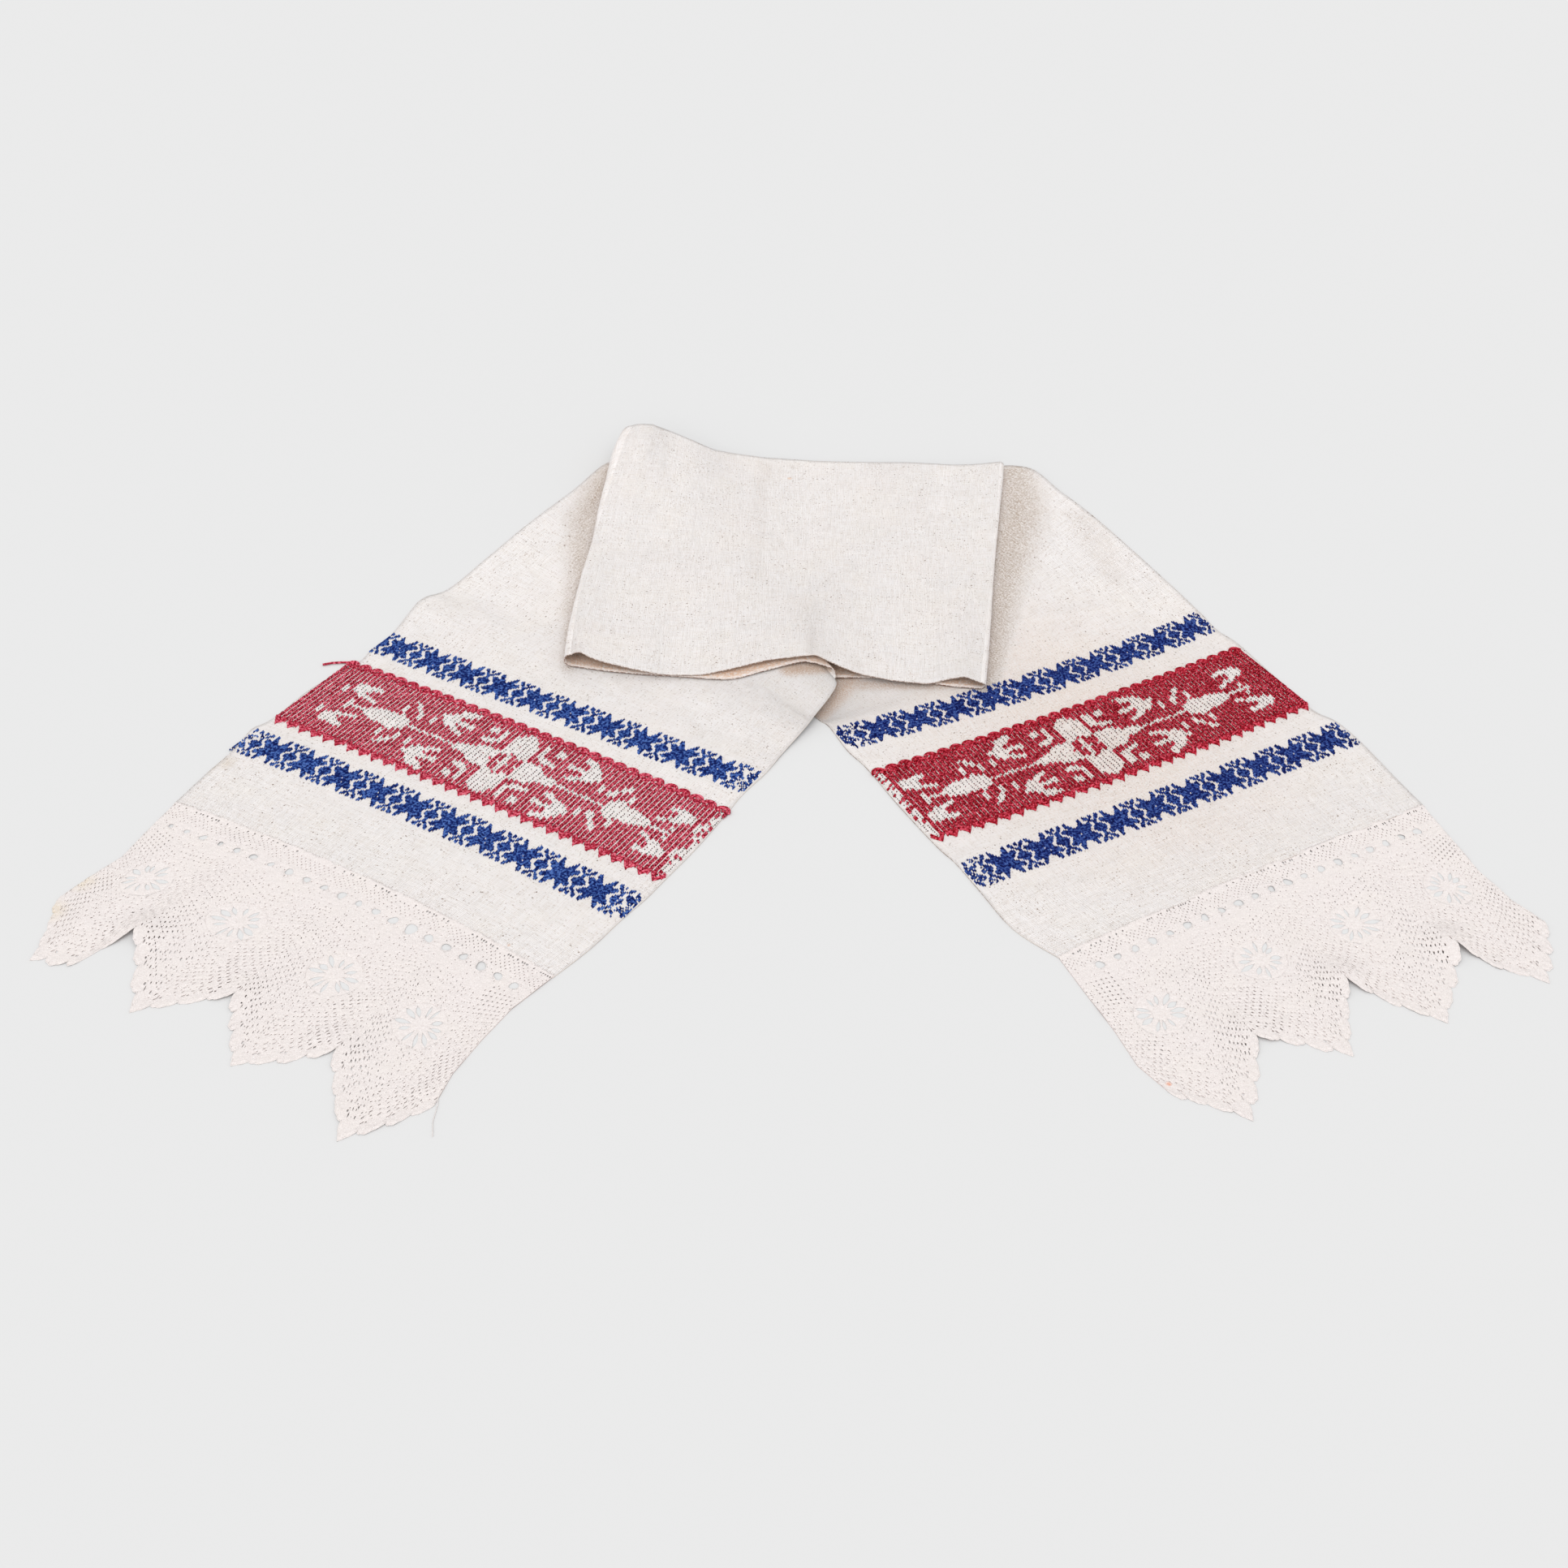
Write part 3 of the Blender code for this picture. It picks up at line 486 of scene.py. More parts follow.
def cloth_finish():
    """Plain weave of uneven handspun thread, cream, with slubs, specks, a few old marks and painted shade in
    the folds and hollows.
    """
    material, tree, shader = start_finish("handwoven_cream", 0.92)
    place = add_node(tree, "ShaderNodeUVMap", uv_map="strip").outputs[0]
    wander = add_node(tree, "ShaderNodeTexNoise", (("Vector", place), ("Scale", 160.0), ("Detail", 2.0)))
    shaken = add_node(tree, "ShaderNodeVectorMath",
                      ((0, wander.outputs["Color"]), (1, (0.0011, 0.0011, 0.0)), (2, place)),
                      operation="MULTIPLY_ADD").outputs[0]
    parts = add_node(tree, "ShaderNodeSeparateXYZ", ((0, shaken),))
    grain = math_node(tree, "MULTIPLY", wave(tree, parts.outputs[0], WARP_PITCH),
                      wave(tree, parts.outputs[1], WEFT_PITCH))
    weft_slubs = noise_value(tree, stretched(tree, place, (45, 900, 0)), 1.0, 3.0, 0.6)
    warp_slubs = noise_value(tree, stretched(tree, place, (900, 45, 0)), 1.0, 3.0, 0.6)
    slubs = math_node(tree, "ADD", weft_slubs, warp_slubs)
    height = math_node(tree, "ADD", grain, math_node(tree, "MULTIPLY", slubs, 1.3))
    crumple = noise_value(tree, place, 90.0, 4.0, 0.6)
    height = math_node(tree, "ADD", height, math_node(tree, "MULTIPLY", crumple, 1.5))
    add_bump(tree, shader, height, 1.0, WEAVE_DEPTH)

    colour = blend_colours(tree, spread(tree, grain, 0.05, 0.65, 0.0, 1.0),
                           srgb(*THREAD_GAP), srgb(*THREAD_CREAM))
    colour = blend_colours(tree, spread(tree, slubs, 0.92, 1.22, 0.0, 0.8), colour, srgb(*SLUB_CREAM))
    for scale, tint in CLOUDS:
        cloud = noise_value(tree, place, scale, 3.0, 0.6)
        colour = blend_colours(tree, spread(tree, cloud, 0.45, 0.68, 0.0, 0.16), colour, srgb(*tint))
    clusters = spread(tree, noise_value(tree, place, 26.0, 3.0, 0.6), 0.40, 0.62, 0.45, 1.0)
    for scale, size, tint, share in PIN_HOLES:
        dots = add_node(tree, "ShaderNodeTexVoronoi", (("Vector", place), ("Scale", scale)))
        near = spread(tree, dots.outputs["Distance"], size, 1.9 * size, 1.0, 0.0)
        kept = add_node(tree, "ShaderNodeSeparateXYZ", ((0, dots.outputs["Color"]),)).outputs[0]
        kept = math_node(tree, "GREATER_THAN", kept, 1.0 - share)
        amount = math_node(tree, "MULTIPLY", math_node(tree, "MULTIPLY", near, kept), clusters)
        colour = blend_colours(tree, amount, colour, srgb(*tint))
    # Painted shade from the shade map: grey in the folds beside the panel and tan in the hollows under its
    # front, broken up by thread streaks and flecks.
    tint, strength = shade_map_values(tree)[:2]
    threads = noise_value(tree, stretched(tree, place, (1500, 110, 0)), 1.0, 4.0, 0.7)
    flecks = noise_value(tree, place, 620.0, 2.0, 0.7)
    uneven = math_node(tree, "MULTIPLY", spread(tree, threads, 0.40, 0.60, 0.45, 1.60),
                       spread(tree, flecks, 0.38, 0.62, 1.90, 0.30))
    painted_shade = blend_colours(tree, tint, srgb(*FOLD_SHADE_GREY), srgb(*HOLLOW_SHADE_TAN))
    colour = blend_colours(tree, math_node(tree, "MULTIPLY", strength, uneven), colour, painted_shade)
    colour = marks_over(tree, colour, CLOTH_MARKS)
    tree.links.new(colour, shader.inputs["Base Color"])
    return material


def selvedge_finish():
    """The strip's bare sides: cream thread with dark brown spots between the turns of the weft, as strong as
    the first value of the shade map.
    """
    material, tree, shader = start_finish("spotted_selvedge", 0.95)
    place = add_node(tree, "ShaderNodeTexCoord").outputs["Object"]
    spots = noise_value(tree, place, 700.0, 2.0, 0.6)
    darkening = math_node(tree, "MULTIPLY", shade_map_values(tree)[0], spread(tree, spots, 0.46, 0.60, 1.0, 0.0))
    colour = blend_colours(tree, darkening, srgb(*SELVEDGE_CREAM), srgb(*SELVEDGE_DARK))
    tree.links.new(colour, shader.inputs["Base Color"])
    return material


left_arm = raised(fill_between(arm_lines("left", LEFT_ARM), ARM_SPACING), arm_relief)
left_under = fill_between(plan_lines(UNDER_LEFT), UNDER_SPACING)
panel = raised(fill_between(plan_lines(PANEL), PANEL_SPACING), panel_relief)
right_under = fill_between(plan_lines(UNDER_RIGHT), UNDER_SPACING)
right_arm = raised(fill_between(arm_lines("right", RIGHT_ARM), ARM_SPACING), arm_relief)

strip = list(reversed(left_arm))
strip += reversed(bend(left_under[-1], left_arm[0], outward_of(left_arm[0], -1)))
strip += reversed(left_under)
strip += reversed(bend(panel[0], left_under[0], outward_of(panel[0], 1)))
strip += panel
strip += bend(panel[-1], right_under[0], outward_of(panel[-1], -1))
strip += right_under
strip += bend(right_under[-1], right_arm[0], outward_of(right_arm[0], 1))
strip += right_arm


def new_piece(name, verts, faces, material):
    """A smooth-shaded object from points and faces, with one material."""
    mesh = bpy.data.meshes.new(name)
    mesh.from_pydata([tuple(v) for v in verts], [], faces)
    mesh.materials.append(material)
    mesh.shade_smooth()
    thing = bpy.data.objects.new(name, mesh)
    bpy.context.scene.collection.objects.link(thing)
    return thing


def painted_shade_at(part, column, point):
    """Tint and strength of the painted shade at a point; the columns count from the front."""
    if part == "hidden":
        return 1.0, FRONT_EDGE_SHADE + (HIDDEN_SHADE - FRONT_EDGE_SHADE) * min(1.0, column / FRONT_COLUMNS)
    x, y = point.x, point.y
    if part != "panel":
        degrees = math.radians(ARM_FRAMES[part][2])
        x -= ARM_FRAMES[part][0] + SHIFT_X
        y -= ARM_FRAMES[part][1] + SHIFT_Y
        x, y = x * math.cos(degrees) + y * math.sin(degrees), x * math.sin(degrees) - y * math.cos(degrees)
    most = 0.0
    shade = UNSHADED_TINT[part]
    for name, from_x, from_y, from_width, to_x, to_y, to_width, strength, tint in PAINTED_FOLD_SHADE:
        if name == part:
            run_x, run_y = to_x - from_x, to_y - from_y
            t = ((x - from_x) * run_x + (y - from_y) * run_y) / (run_x ** 2 + run_y ** 2)
            t = min(max(t, 0.0), 1.0)
            away = math.hypot(x - from_x - run_x * t, y - from_y - run_y * t)
            away /= from_width + (to_width - from_width) * t
            here = strength * ease(max(0.0, 1 - away))
            if here > most:
                most = here
                shade = tint
    return shade, most


wide = SHEET_COLUMNS + 1
cloth_faces = [(row * wide + column, row * wide + column + 1, (row + 1) * wide + column + 1,
                (row + 1) * wide + column)
               for row in range(len(strip) - 1) for column in range(SHEET_COLUMNS)]
cloth = new_piece("woven_strip", [point for line in strip for point in line], cloth_faces, cloth_finish())
lengths = [0.0]
for row in range(1, len(strip)):
    middle = SHEET_COLUMNS // 2
    lengths.append(lengths[-1] + (strip[row][middle] - strip[row - 1][middle]).length)
strip_uv = cloth.data.uv_layers.new(name="strip")
for loop in cloth.data.loops:
    row, column = divmod(loop.vertex_index, wide)
    strip_uv.data[loop.index].uv = (column * CLOTH_WIDTH / SHEET_COLUMNS, lengths[row])
shade_map = cloth.data.uv_layers.new(name="shade_map")
# The part that each row belongs to, for its painted shade: the hidden runs and the lower halves of the
# panel's bends are painted as lying in shade.
turn_rows = ARC_ROWS - 1
low_turn = turn_rows // 2
parts = (["left"] * (len(left_arm) + turn_rows) + ["hidden"] * (len(left_under) + low_turn)
         + ["panel"] * (len(panel) + 2 * (turn_rows - low_turn)) + ["hidden"] * (len(right_under) + low_turn)
         + ["right"] * (len(right_arm) + turn_rows))
shade_values = [painted_shade_at(part, column, point)
        for part, line in zip(parts, strip) for column, point in enumerate(line)]
for loop in cloth.data.loops:
    shade_map.data[loop.index].uv = shade_values[loop.vertex_index]
cloth.data.materials.append(selvedge_finish())
body = cloth.modifiers.new("thickness", "SOLIDIFY")
body.material_offset_rim = 1
body.thickness = SHEET_THICKNESS
body.offset = 0
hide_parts("towel_cloth")
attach(cloth, "root")

# The borders are woven in with thick blue and red cotton, which floats over the plain cloth in
# short slanted stitches.  Two bands of eight-pointed stars stand at each end of the strip.
PAD_FOOT = 0.00018
STAR_STITCH = (0.0015, 0.00155)
STAR_HALF_HEIGHT = 0.0175
STAR_SLANT = {"left": 0.0013, "right": -0.0013}
STAR_FLOAT_HEIGHT = 0.0007
STAR_JITTER = 0.0001
STITCH_OVERLAP = 1.12
# Quarter of a star, a lozenge and a sprig in millimetres from their centres; mirrored both ways.
STAR = ((0.0, 0.0), (8.6, 0.0), (9.5, 1.6), (13.6, 6.0), (14.6, 8.3), (13.8, 10.2), (10.8, 10.2), (7.8, 9.8),
        (8.5, 13.6), (8.4, 17.5), (6.6, 17.5), (3.6, 12.2), (1.2, 8.8), (0.0, 8.0))
STAR_EYES = ((0.0, 0.0), (3.6, 4.6))
LOZENGE = ((0.0, 0.0), (0.0, 5.2), (2.6, 5.2), (6.4, 1.0), (6.4, 0.0))
STEM = ((0.0, 5.0), (0.0, 11.0), (1.7, 11.0), (1.7, 5.0))
SPRIG_ARM = ((0.0, 9.2), (4.8, 17.5), (7.3, 17.5), (7.3, 14.4), (2.4, 9.2))
SPRIG_TOP = ((0.0, 13.8), (0.0, 17.5), (1.6, 17.5), (1.6, 13.8))

# side, name, middle line's v at u 0, 0.2 and 0.4, first star's u, last star's u, left and right end u
STAR_BANDS = (
    ("left", "upper", 0.1230, 0.1205, 0.1183, 0.0217, 0.3675, 0.0005, 0.4030),
    ("left", "lower", 0.2987, 0.2942, 0.3008, 0.0273, 0.3716, -0.0050, 0.4070),
    ("right", "upper", 0.0997, 0.1141, 0.1064, 0.0415, 0.3734, 0.0050, 0.3950),
    ("right", "lower", 0.3057, 0.3061, 0.3033, 0.0401, 0.3734, 0.0050, 0.3960),
)
STARS = 10


def on_cloth(side, u, v):
    """The top face of an arm's flat part at a place of its frame."""
    point = on_arm(side, u, v, 0)
    point.z = FLOOR + SHEET_THICKNESS / 2 + arm_relief(point.x, point.y) * calm(u / CLOTH_WIDTH)
    return point


def inside(shape, x, y):
    """Whether a point lies in a flat outline."""
    within = False
    for (x0, y0), (x1, y1) in zip(shape, shape[1:] + shape[:1]):
        if (y0 > y) != (y1 > y) and x < (x1 - x0) * (y - y0) / (y1 - y0) + x0:
            within = not within
    return within


def add_pad(verts, faces, side, u, v, across, along, shear, height):
    """One float of thread: a pad that fills its place on the cloth, with its ridge on the slant."""
    first = len(verts)
    for du, dv in ((-0.5, -0.5), (0.5, -0.5), (0.5, 0.5), (-0.5, 0.5)):
        point = on_cloth(side, u + du * across, v + dv * along + du * shear)
        verts.append(point + Vector((0, 0, PAD_FOOT)))
    for du in (-0.3, 0.3):
        verts.append(on_cloth(side, u + du * across, v + du * shear) + Vector((0, 0, height)))
    a, b, c, d, e, f = range(first, first + 6)
    faces.extend(((a, b, c, d), (a, d, e), (d, c, f, e), (c, b, f), (b, a, e, f)))


def thread_finish(name, dark, middle, bright):
    """Soft twisted cotton, each stitch its own depth of the dye, with a fine twist."""
    material, tree, shader = start_finish(name, 0.8, 0.04, 0.0)
    place = add_node(tree, "ShaderNodeTexCoord").outputs["Object"]
    each = noise_value(tree, place, 480.0, 2.0, 0.5)
    slow = noise_value(tree, place, 60.0, 2.0, 0.5)
    colour = blend_colours(tree, spread(tree, each, 0.40, 0.50, 0.0, 1.0), srgb(*dark), srgb(*middle))
    colour = blend_colours(tree, spread(tree, each, 0.50, 0.62, 0.0, 1.0), colour, srgb(*bright))
    colour = blend_colours(tree, spread(tree, slow, 0.4, 0.7, 0.0, 0.25), colour, srgb(*dark))
    tree.links.new(colour, shader.inputs["Base Color"])
    add_bump(tree, shader, noise_value(tree, place, 2600.0, 2.0, 0.6), 0.7, 0.0002)
    return material


def in_star(x, y):
    """Whether a place in millimetres from a star's centre is worked in blue."""
    if any(abs(x - eye_x) < 0.7 and abs(y - eye_y) < 0.7 for eye_x, eye_y in STAR_EYES):
        return False
    return inside(STAR, abs(x), abs(y))


def in_between(x, y):
    """Whether a place in millimetres from the middle between two stars is worked in blue."""
    x, y = abs(x), abs(y)
    return any(inside(shape, x, y) for shape in (LOZENGE, STEM, SPRIG_ARM, SPRIG_TOP))


blue_threads = {
    "left": thread_finish("blue_cotton_left", (14, 24, 78), (36, 62, 138), (92, 128, 196)),
    "right": thread_finish("blue_cotton_right", (12, 18, 70), (32, 50, 124), (78, 106, 172)),
}
star_bands = []
for side, name, v_0, v_2, v_4, first_star, last_star, end_0, end_4 in STAR_BANDS:
    chance = random.Random(side + name)
    pitch = (last_star - first_star) / (STARS - 1)
    verts, faces = [], []
    columns = round((end_4 - end_0) / STAR_STITCH[0])
    rows = round(2 * STAR_HALF_HEIGHT / STAR_STITCH[1])
    for column in range(columns):
        for row in range(rows):
            stagger = 0.5 * (column % 2)
            u = end_0 + (column + 0.5) * STAR_STITCH[0]
            y = -STAR_HALF_HEIGHT + (row + 0.25 + stagger) * STAR_STITCH[1]
            places = (u - first_star) / pitch
            nearest = min(max(round(places), -1), STARS)
            if nearest in (-1, STARS) and chance.random() < 0.25:
                continue
            x = (places - nearest) * pitch * 1000
            edge = (places - math.floor(places) - 0.5) * pitch * 1000
            if not (in_star(x, y * 1000) or in_between(edge, y * 1000)):
                continue
            add_pad(verts, faces, side, u + chance.uniform(-STAR_JITTER, STAR_JITTER),
                    bow(v_0, v_2, v_4, u / CLOTH_WIDTH) + y + chance.uniform(-STAR_JITTER, STAR_JITTER),
                    STAR_STITCH[0] * STITCH_OVERLAP, STAR_STITCH[1] * STITCH_OVERLAP,
                    STAR_SLANT[side], STAR_FLOAT_HEIGHT * chance.uniform(0.6, 1.4))
    star_bands.append(new_piece("star_band_" + side + "_" + name, verts, faces, blue_threads[side]))
    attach(star_bands[-1], "root")

# Between the two star bands lies a deep red one.  Its columns of stitches run along the strip,
# three under each small arch, and leave the white cloth open where flowers and leaves stand.
RED_COLUMNS = 93
RED_STITCH = 0.0025
RED_HALF = 0.0525
RED_FLOAT = {"left": 0.0035, "right": 0.0038}
RED_TIP = 0.0022
RED_FLOAT_HEIGHT = 0.0010
RED_SLANT = {"left": 0.0024, "right": -0.0024}
DASH_SIZE = (0.0010, 0.0012, 0.0004)
ARCH_COLUMNS = 3
ARCH_YARN = 0.0010
ARCH_FOOT = 0.0052
ARCH_HEIGHT = 0.0062
ARCH_STEPS = 8
ARCH_INSET = 0.0021
TOOTH_TIP = 0.0014
TOOTH_HEIGHT = 0.0088
TOOTH_STEPS = 3
TOOTH_INSET = 0.0024
# Down to the first depth from the band's top, and between the two from its foot, an extra float
# fills the gap between two columns.
FILLED_TOP = 0.0066
FILLED_FOOT = (0.0085, 0.0035)
FILLER_WIDTH = 0.0032
# Half outlines in millimetres from the band's centre, the axis across the strip first, mirrored
# both ways.
WHITE_SHAPES = (
    ("long petal", ((0, 10), (0, 45.5), (2.5, 44.5), (6.5, 41), (9.5, 38), (13.8, 33), (13.8, 12), (9, 10))),
    ("side petal", ((13, 0), (13, 14), (19, 13.5), (32, 12.5), (35, 9), (39, 8), (40, 5.3), (54, 4.8),
                    (54, 0))),
    ("inner curl bar", ((19, 22), (19, 38), (25.5, 38), (25.5, 22))),
    ("inner curl hook", ((30.5, 30), (30.5, 37), (33, 39), (41, 38), (41, 31))),
    ("inner curl foot", ((26, 17.5), (22, 24), (28, 24), (41, 21.5), (41, 17))),
    ("rose", ((69, 18), (69, 36), (75, 40), (81, 34), (84, 28), (84, 21), (79, 17))),
    ("rose wedge", ((57, 43), (59, 46), (75, 41), (69, 34), (61, 37))),
    ("rose arm", ((52, 23.5), (52, 29), (69, 30), (69, 24))),
    ("rose foot", ((57, 11), (57, 15), (69, 20.5), (77, 20), (71, 14.5), (62, 11))),
    ("rose nib", ((84, 25), (84, 31), (88, 30), (88, 26))),
    ("small bar", ((90, 12.5), (90, 22.5), (93.3, 22.5), (93.3, 12.5))),
    ("leaf", ((101, 12), (101, 18.5), (109, 26), (111, 32), (119, 32.5), (117, 27), (110, 21), (106, 12))),
    ("leaf bar", ((120.5, 13), (120.5, 23), (124, 23), (124, 13))),
    ("bud", ((106, 0), (106, 2), (109, 8), (114, 9.5), (115, 12.8), (120, 12.8), (121, 10), (139, 9.5),
             (146, 7), (154, 4), (155, 0))),
    ("stem", ((54, 0), (54, 1.3), (107, 1.3), (107, 0))),
    ("end flower", ((168, 18), (167, 31), (180, 31), (185, 26), (184, 19), (178, 16.5))),
    ("end arm", ((157, 26), (157, 31), (168, 32), (168, 25))),
    ("end foot", ((159, 12.5), (161, 18.5), (173, 19), (173, 13))),
    ("end tip", ((154, 9), (154, 14.5), (159, 16), (159, 11))),
    ("end bar", ((188.5, 12), (188.5, 23), (192, 23), (192, 12))),
    ("end line", ((155, 0), (155, 1.4), (176, 1.4), (176, 0))),
    ("end spots", ((168, 3.5), (168, 7.5), (175, 8.5), (173, 3.5))),
)
# The flower's red heart is a lozenge with a white cross in it, in millimetres.
RED_HEART = 16.5
CROSS_REACH = 13
CROSS_HALF_WIDTH = 1.7
# side, middle line's v at u 0, 0.2 and 0.4, centre of the pattern, left and right end u, and how
# wide the pattern's left half came out
RED_BANDS = (
    ("left", 0.2129, 0.2083, 0.2119, 0.207, -0.0040, 0.4080, 0.98),
    ("right", 0.2049, 0.2110, 0.2061, 0.187, 0.0035, 0.3940, 0.93),
)
RED_END_TUFT = ((-0.0214, 0.1785), (-0.0160, 0.1722), (-0.0090, 0.1668), (-0.0030, 0.1632), (0.0030, 0.1630))


def left_white(x, y):
    """Whether the white cloth is left open at a place in millimetres from the band's centre."""
    x, y = abs(x), abs(y)
    if x + y < RED_HEART:
        return min(x, 1.6 * y) < CROSS_HALF_WIDTH and x + y < CROSS_REACH
    return any(inside(shape, x, y) for name, shape in WHITE_SHAPES)


def red_reach(column):
    """How far up and down a red column reaches: an arch above, a tooth below."""
    off = abs(column % ARCH_COLUMNS - 1)
    return -RED_HALF + 0.0024 * off, RED_HALF - 0.0064 * off


def add_tube(verts, faces, path, radius, sides=6):
    """A length of yarn along a path, closed at both ends."""
    first = len(verts)
    for index, point in enumerate(path):
        run = path[min(index + 1, len(path) - 1)] - path[max(index - 1, 0)]
        run.normalize()
        aside = run.cross(Vector((0, 0, 1)))
        aside = aside.normalized() if aside.length > 1e-6 else Vector((1, 0, 0))
        upward = aside.cross(run)
        for side in range(sides):
            angle = 2 * math.pi * side / sides
            verts.append(point + aside * radius * math.cos(angle) + upward * radius * math.sin(angle))
    for index in range(len(path) - 1):
        for side in range(sides):
            a = first + index * sides + side
            b = first + index * sides + (side + 1) % sides
            faces.append((a, b, b + sides, a + sides))
    faces.append(tuple(first + side for side in reversed(range(sides))))
    last = first + (len(path) - 1) * sides
    faces.append(tuple(last + side for side in range(sides)))


red_threads = {
    "left": thread_finish("red_cotton_left", (130, 20, 38), (183, 48, 70), (223, 119, 137)),
    "right": thread_finish("red_cotton_right", (112, 7, 20), (170, 30, 46), (208, 84, 102)),
}
dash_thread = thread_finish("tie_down_cotton", (54, 34, 36), (84, 48, 50), (140, 70, 76))
red_bands = []
for side, v_0, v_2, v_4, centre, end_0, end_4, left_scale in RED_BANDS:
    chance = random.Random("red " + side)
    pitch = (end_4 - end_0) / RED_COLUMNS
    shear = RED_SLANT[side]
    front_columns = (0, 1) if side == "right" else (RED_COLUMNS - 2, RED_COLUMNS - 1)
    verts, faces, dashes = [], [], []
    for column in range(RED_COLUMNS):
        u = end_0 + (column + 0.5) * pitch
        x = (u - centre) * 1000
        if x < 0:
            x /= left_scale
        top, foot = red_reach(column)
        middle = bow(v_0, v_2, v_4, u / CLOTH_WIDTH)
        y = top
        while y < foot:
            y += RED_STITCH
            stagger = y + 0.5 * RED_STITCH * (column % 2)
            loose = column in front_columns and chance.random() < 0.65
            if loose or left_white(x, stagger * 1000):
                if chance.random() < 0.85:
                    dashes.extend(range(len(faces), len(faces) + 5))
                    add_pad(verts, faces, side, u + chance.uniform(-0.0004, 0.0004),
                            middle + stagger + chance.uniform(-0.0003, 0.0003),
                            DASH_SIZE[0] * chance.uniform(0.8, 1.3), DASH_SIZE[1] * chance.uniform(0.8, 1.3),
                            shear / 3, DASH_SIZE[2])
                continue
            tip = y + RED_STITCH >= foot and column % ARCH_COLUMNS == 1
            add_pad(verts, faces, side, u + chance.uniform(-0.0002, 0.0002), middle + stagger,
                    (RED_TIP if tip else RED_FLOAT[side]) * chance.uniform(0.9, 1.12), RED_STITCH * 1.06,
                    shear, RED_FLOAT_HEIGHT * chance.uniform(0.7, 1.3))
            near_top = y < -RED_HALF + FILLED_TOP
            near_foot = RED_HALF - FILLED_FOOT[0] < y < RED_HALF - FILLED_FOOT[1]
            if (near_top or near_foot) and column % ARCH_COLUMNS != 2:
                add_pad(verts, faces, side, u + pitch / 2, middle + stagger + 0.0006, FILLER_WIDTH,
                        RED_STITCH * 1.1, shear * chance.uniform(0.4, 1.2),
                        RED_FLOAT_HEIGHT * chance.uniform(0.7, 1.3))
    for group in range(RED_COLUMNS // ARCH_COLUMNS):
        u = end_0 + (group + 0.5) * ARCH_COLUMNS * pitch + chance.uniform(-0.0004, 0.0004)
        middle = bow(v_0, v_2, v_4, u / CLOTH_WIDTH)
        half_wide = 0.5 * ARCH_COLUMNS * pitch * chance.uniform(0.86, 0.98)
        paths = []
        for inset in (0.0, ARCH_INSET):
            angles = [math.pi * step / ARCH_STEPS for step in range(ARCH_STEPS + 1)]
            paths.append([(-(half_wide - inset) * math.cos(angle),
                           -RED_HALF + ARCH_FOOT - (ARCH_HEIGHT - inset) * math.sin(angle))
                          for angle in angles])
        for inset in (0.0, TOOTH_INSET):
            places = [step / TOOTH_STEPS - 1 for step in range(2 * TOOTH_STEPS + 1)]
            paths.append([(place * (half_wide - 0.5 * inset),
                           RED_HALF + TOOTH_TIP - inset - TOOTH_HEIGHT * abs(place)) for place in places])
        for path in paths:
            laid = [on_cloth(side, u + du, middle + dv) + Vector((0, 0, ARCH_YARN / 2)) for du, dv in path]
            add_tube(verts, faces, laid, ARCH_YARN, 5)
    if side == "left":
        for aside in (-0.0005, 0.0005):
            path = [on_arm(side, u + aside, v + aside, 0.0014) for u, v in RED_END_TUFT]
            add_tube(verts, faces, path, 0.0006)
    red_bands.append(new_piece("red_band_" + side, verts, faces, red_threads[side]))
    red_bands[-1].data.materials.append(dash_thread)
    for face in dashes:
        red_bands[-1].data.polygons[face].material_index = 1
    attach(red_bands[-1], "root")

# Each end of the strip carries a deep crochet lace of white cotton, sewn on along the cloth's
# end: fine rows, a row of eyelets, four flowers and a deep zigzag edge of small fans.
LACE_WIDTH = 0.385
LACE_THICKNESS = 0.0007
UPPER_SIDE = LACE_THICKNESS / 2
UNDERSIDE = -LACE_THICKNESS / 2 + 0.0001
SEAM_OVERLAP = 0.0022
SEAM_RISE = 0.0005
SEAM_SLOPE = 0.0070
LACE_REPEATS = 4
SCALLOPS_PER_POINT = 7
SCALLOP_HEIGHT = 0.0052
PICOT_HEIGHT = 0.0012
PLACE_PER_METRE = LACE_REPEATS / LACE_WIDTH
LACE_ROWS = (0.0, 0.30, 0.55, 0.80, 1.0)
EYELET_WIDTH = 0.0090
EYELET_HEIGHT = 0.0092
PETALS = 12
HEART_RADIUS = 0.0072
HEART_ROUNDS = 6
HEART_STEPS = 20
FLOWER_RADIUS = 0.0214
PETAL_START = 0.0076
PETAL_END = 0.0214
PETAL_SHORTER = 0.0055
PETAL_HALF_WIDTH = 0.0025
BAR_ROWS = 14
# Corners of a cell, and for each of its sides the cell beyond it and the corners at its ends.
CELL_CORNERS = ((0, 0), (0, 1), (1, 1), (1, 0))
CELL_SIDES = ((-1, 0, 0, 1), (0, 1, 1, 2), (1, 0, 2, 3), (0, -1, 3, 0))
BAR_RELIEF = (-0.0002, 0.0001, -0.0001, 0.0001, -0.0002)
BAR_OVERLAP = 0.0018
HEART_OVERLAP = 0.0006
LACE_COLUMNS = 168
LACE_COURSES = 74
LACE_SWELLS = ((0.022, 0.0010),)
LIFT_REACH = 0.030
FLAT_ROUND_FLOWER = 0.012
RIM_STEPS = 16
SEAM_STITCHES = 120
# One stitch over the seam: share of its lean, depth below the seam and lift.
SEAM_STITCH = ((0, -0.0014, -0.0002), (0.3, -0.0008, 0.0006), (0.7, 0.0010, 0.0004), (1, 0.0020, 0.0))
# Half thicknesses of the cords.
RIM_CORD = 0.0004
SEAM_CORD = 0.00026
FAN_CORD = 0.00055
STRAY_CORD = 0.0003
FAN_COLUMNS = 6
FAN_COURSES = 3
